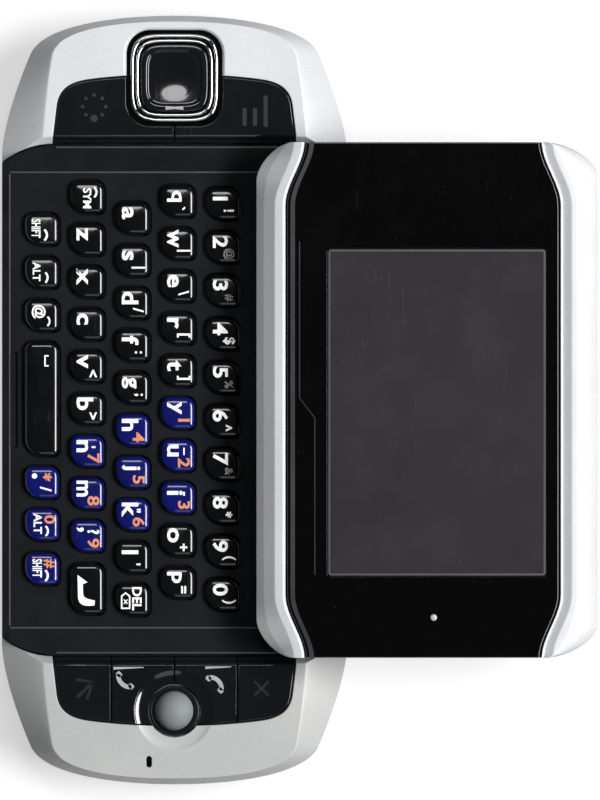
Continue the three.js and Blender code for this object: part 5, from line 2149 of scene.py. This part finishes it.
def dress_kept(nodes: dict[str, bpy.types.Object], palette: Palette) -> None:
    """Gives the parts that stay as they are their materials.

    Args:
        nodes: the frame's nodes by name.
        palette: where materials come from.
    """
    for name, finish in KEPT_FINISHES.items():
        nodes[name].data.materials.clear()
        nodes[name].data.materials.append(palette.material(finish))
        LOG.info("%s keeps its shape, finished in %s", name, finish)


# Studio


@dataclass(frozen=True)
class Softbox:
    """A square light: where it stands, its size and its power."""

    name: str
    place: tuple[float, float, float]
    size: Pair
    power: float


@dataclass
class Studio:
    """The floor, the lights and the camera. Sizes in metres."""

    target: tuple[float, float, float] = (0.0, 0.0212, 0.013)
    distance: float = 2.5
    frame_height: float = 0.1351
    sensor: float = 36.0
    floor_reach: float = 3.0
    floor_drop: float = 0.0002
    floor_tone: float = 0.6
    floor_roughness: float = 0.9
    world: float = 0.035
    glow: float = 0.55
    boxes: tuple[Softbox, ...] = (
        Softbox("key", (0.0, 0.58, 0.7), (0.8, 0.3), 9.8),
        Softbox("left", (-0.18, 0.0, 0.47), (0.2, 0.12), 0.4),
        Softbox("right", (0.62, 0.1, 0.5), (0.4, 0.5), 0.4),
        Softbox("fill", (0.1, -0.9, 0.5), (1.4, 0.5), 0.11),
    )

    def floor(self) -> None:
        """A wide pale floor, seen in the gloss but casting no light of its own on the matt parts."""
        mesh = bpy.data.meshes.new("floor")
        mesh.from_pydata(lifted(CORNERS * self.floor_reach, -self.floor_drop).tolist(), [], [(0, 1, 2, 3)])
        piece = bpy.data.objects.new("floor", mesh)
        bpy.context.scene.collection.objects.link(piece)
        material = bpy.data.materials.new("floor_white")
        material.use_nodes = True
        shader = material.node_tree.nodes["Principled BSDF"]
        shader.inputs["Base Color"].default_value = (*[self.floor_tone] * 3, 1.0)
        shader.inputs["Roughness"].default_value = self.floor_roughness
        shader.inputs["Emission Color"].default_value = (1.0, 1.0, 1.0, 1.0)
        shader.inputs["Emission Strength"].default_value = self.glow
        mesh.materials.append(material)
        piece.visible_diffuse = False

    def lights(self) -> None:
        """The softboxes, each turned to the target, in a dim room."""
        world = bpy.data.worlds.new("studio")
        world.use_nodes = True
        shader = world.node_tree.nodes["Background"]
        shader.inputs["Color"].default_value = (1, 1, 1, 1)
        shader.inputs["Strength"].default_value = self.world
        bpy.context.scene.world = world
        for box in self.boxes:
            light = bpy.data.lights.new(box.name, "AREA")
            light.shape = "ELLIPSE"
            light.size, light.size_y = box.size
            light.energy = box.power
            lamp = bpy.data.objects.new(box.name, light)
            lamp.location = box.place
            aim = mathutils.Vector(self.target) - mathutils.Vector(box.place)
            lamp.rotation_euler = aim.to_track_quat("-Z", "Y").to_euler()
            bpy.context.scene.collection.objects.link(lamp)

    def camera(self) -> None:
        """A long lens straight above: the picture's right is +Y and its top is -X."""
        lens = bpy.data.cameras.new("camera")
        lens.sensor_width = self.sensor
        lens.lens = self.sensor * self.distance / self.frame_height
        lens.clip_end = self.distance * 4
        piece = bpy.data.objects.new("camera", lens)
        x, y, z = self.target
        piece.location = (x, y, z + self.distance)
        piece.rotation_euler = (0.0, 0.0, QUARTER)
        bpy.context.scene.collection.objects.link(piece)
        bpy.context.scene.camera = piece

    def build(self) -> None:
        """Builds the studio and picks the plain view transform."""
        self.floor()
        self.lights()
        self.camera()
        bpy.context.scene.view_settings.view_transform = "Standard"


def main() -> None:
    """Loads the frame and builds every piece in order."""
    logging.basicConfig(level=logging.INFO, format="%(message)s")
    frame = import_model()
    bench = Bench(Palette())
    caps = Caps(bench)
    parts = [Housing(bench), caps, Keyboard(bench, Printer()), FacePads(bench, caps), PadMarks(bench)]
    parts += [DirectionPad(bench), BallSet(bench), DisplaySlab(bench)]
    for part in parts:
        before = bench.count
        part.build()
        LOG.info("%s done: %d pieces", type(part).__name__, bench.count - before)
    dress_kept(frame["nodes"], bench.palette)
    Studio().build()


if __name__ == "__main__":
    main()
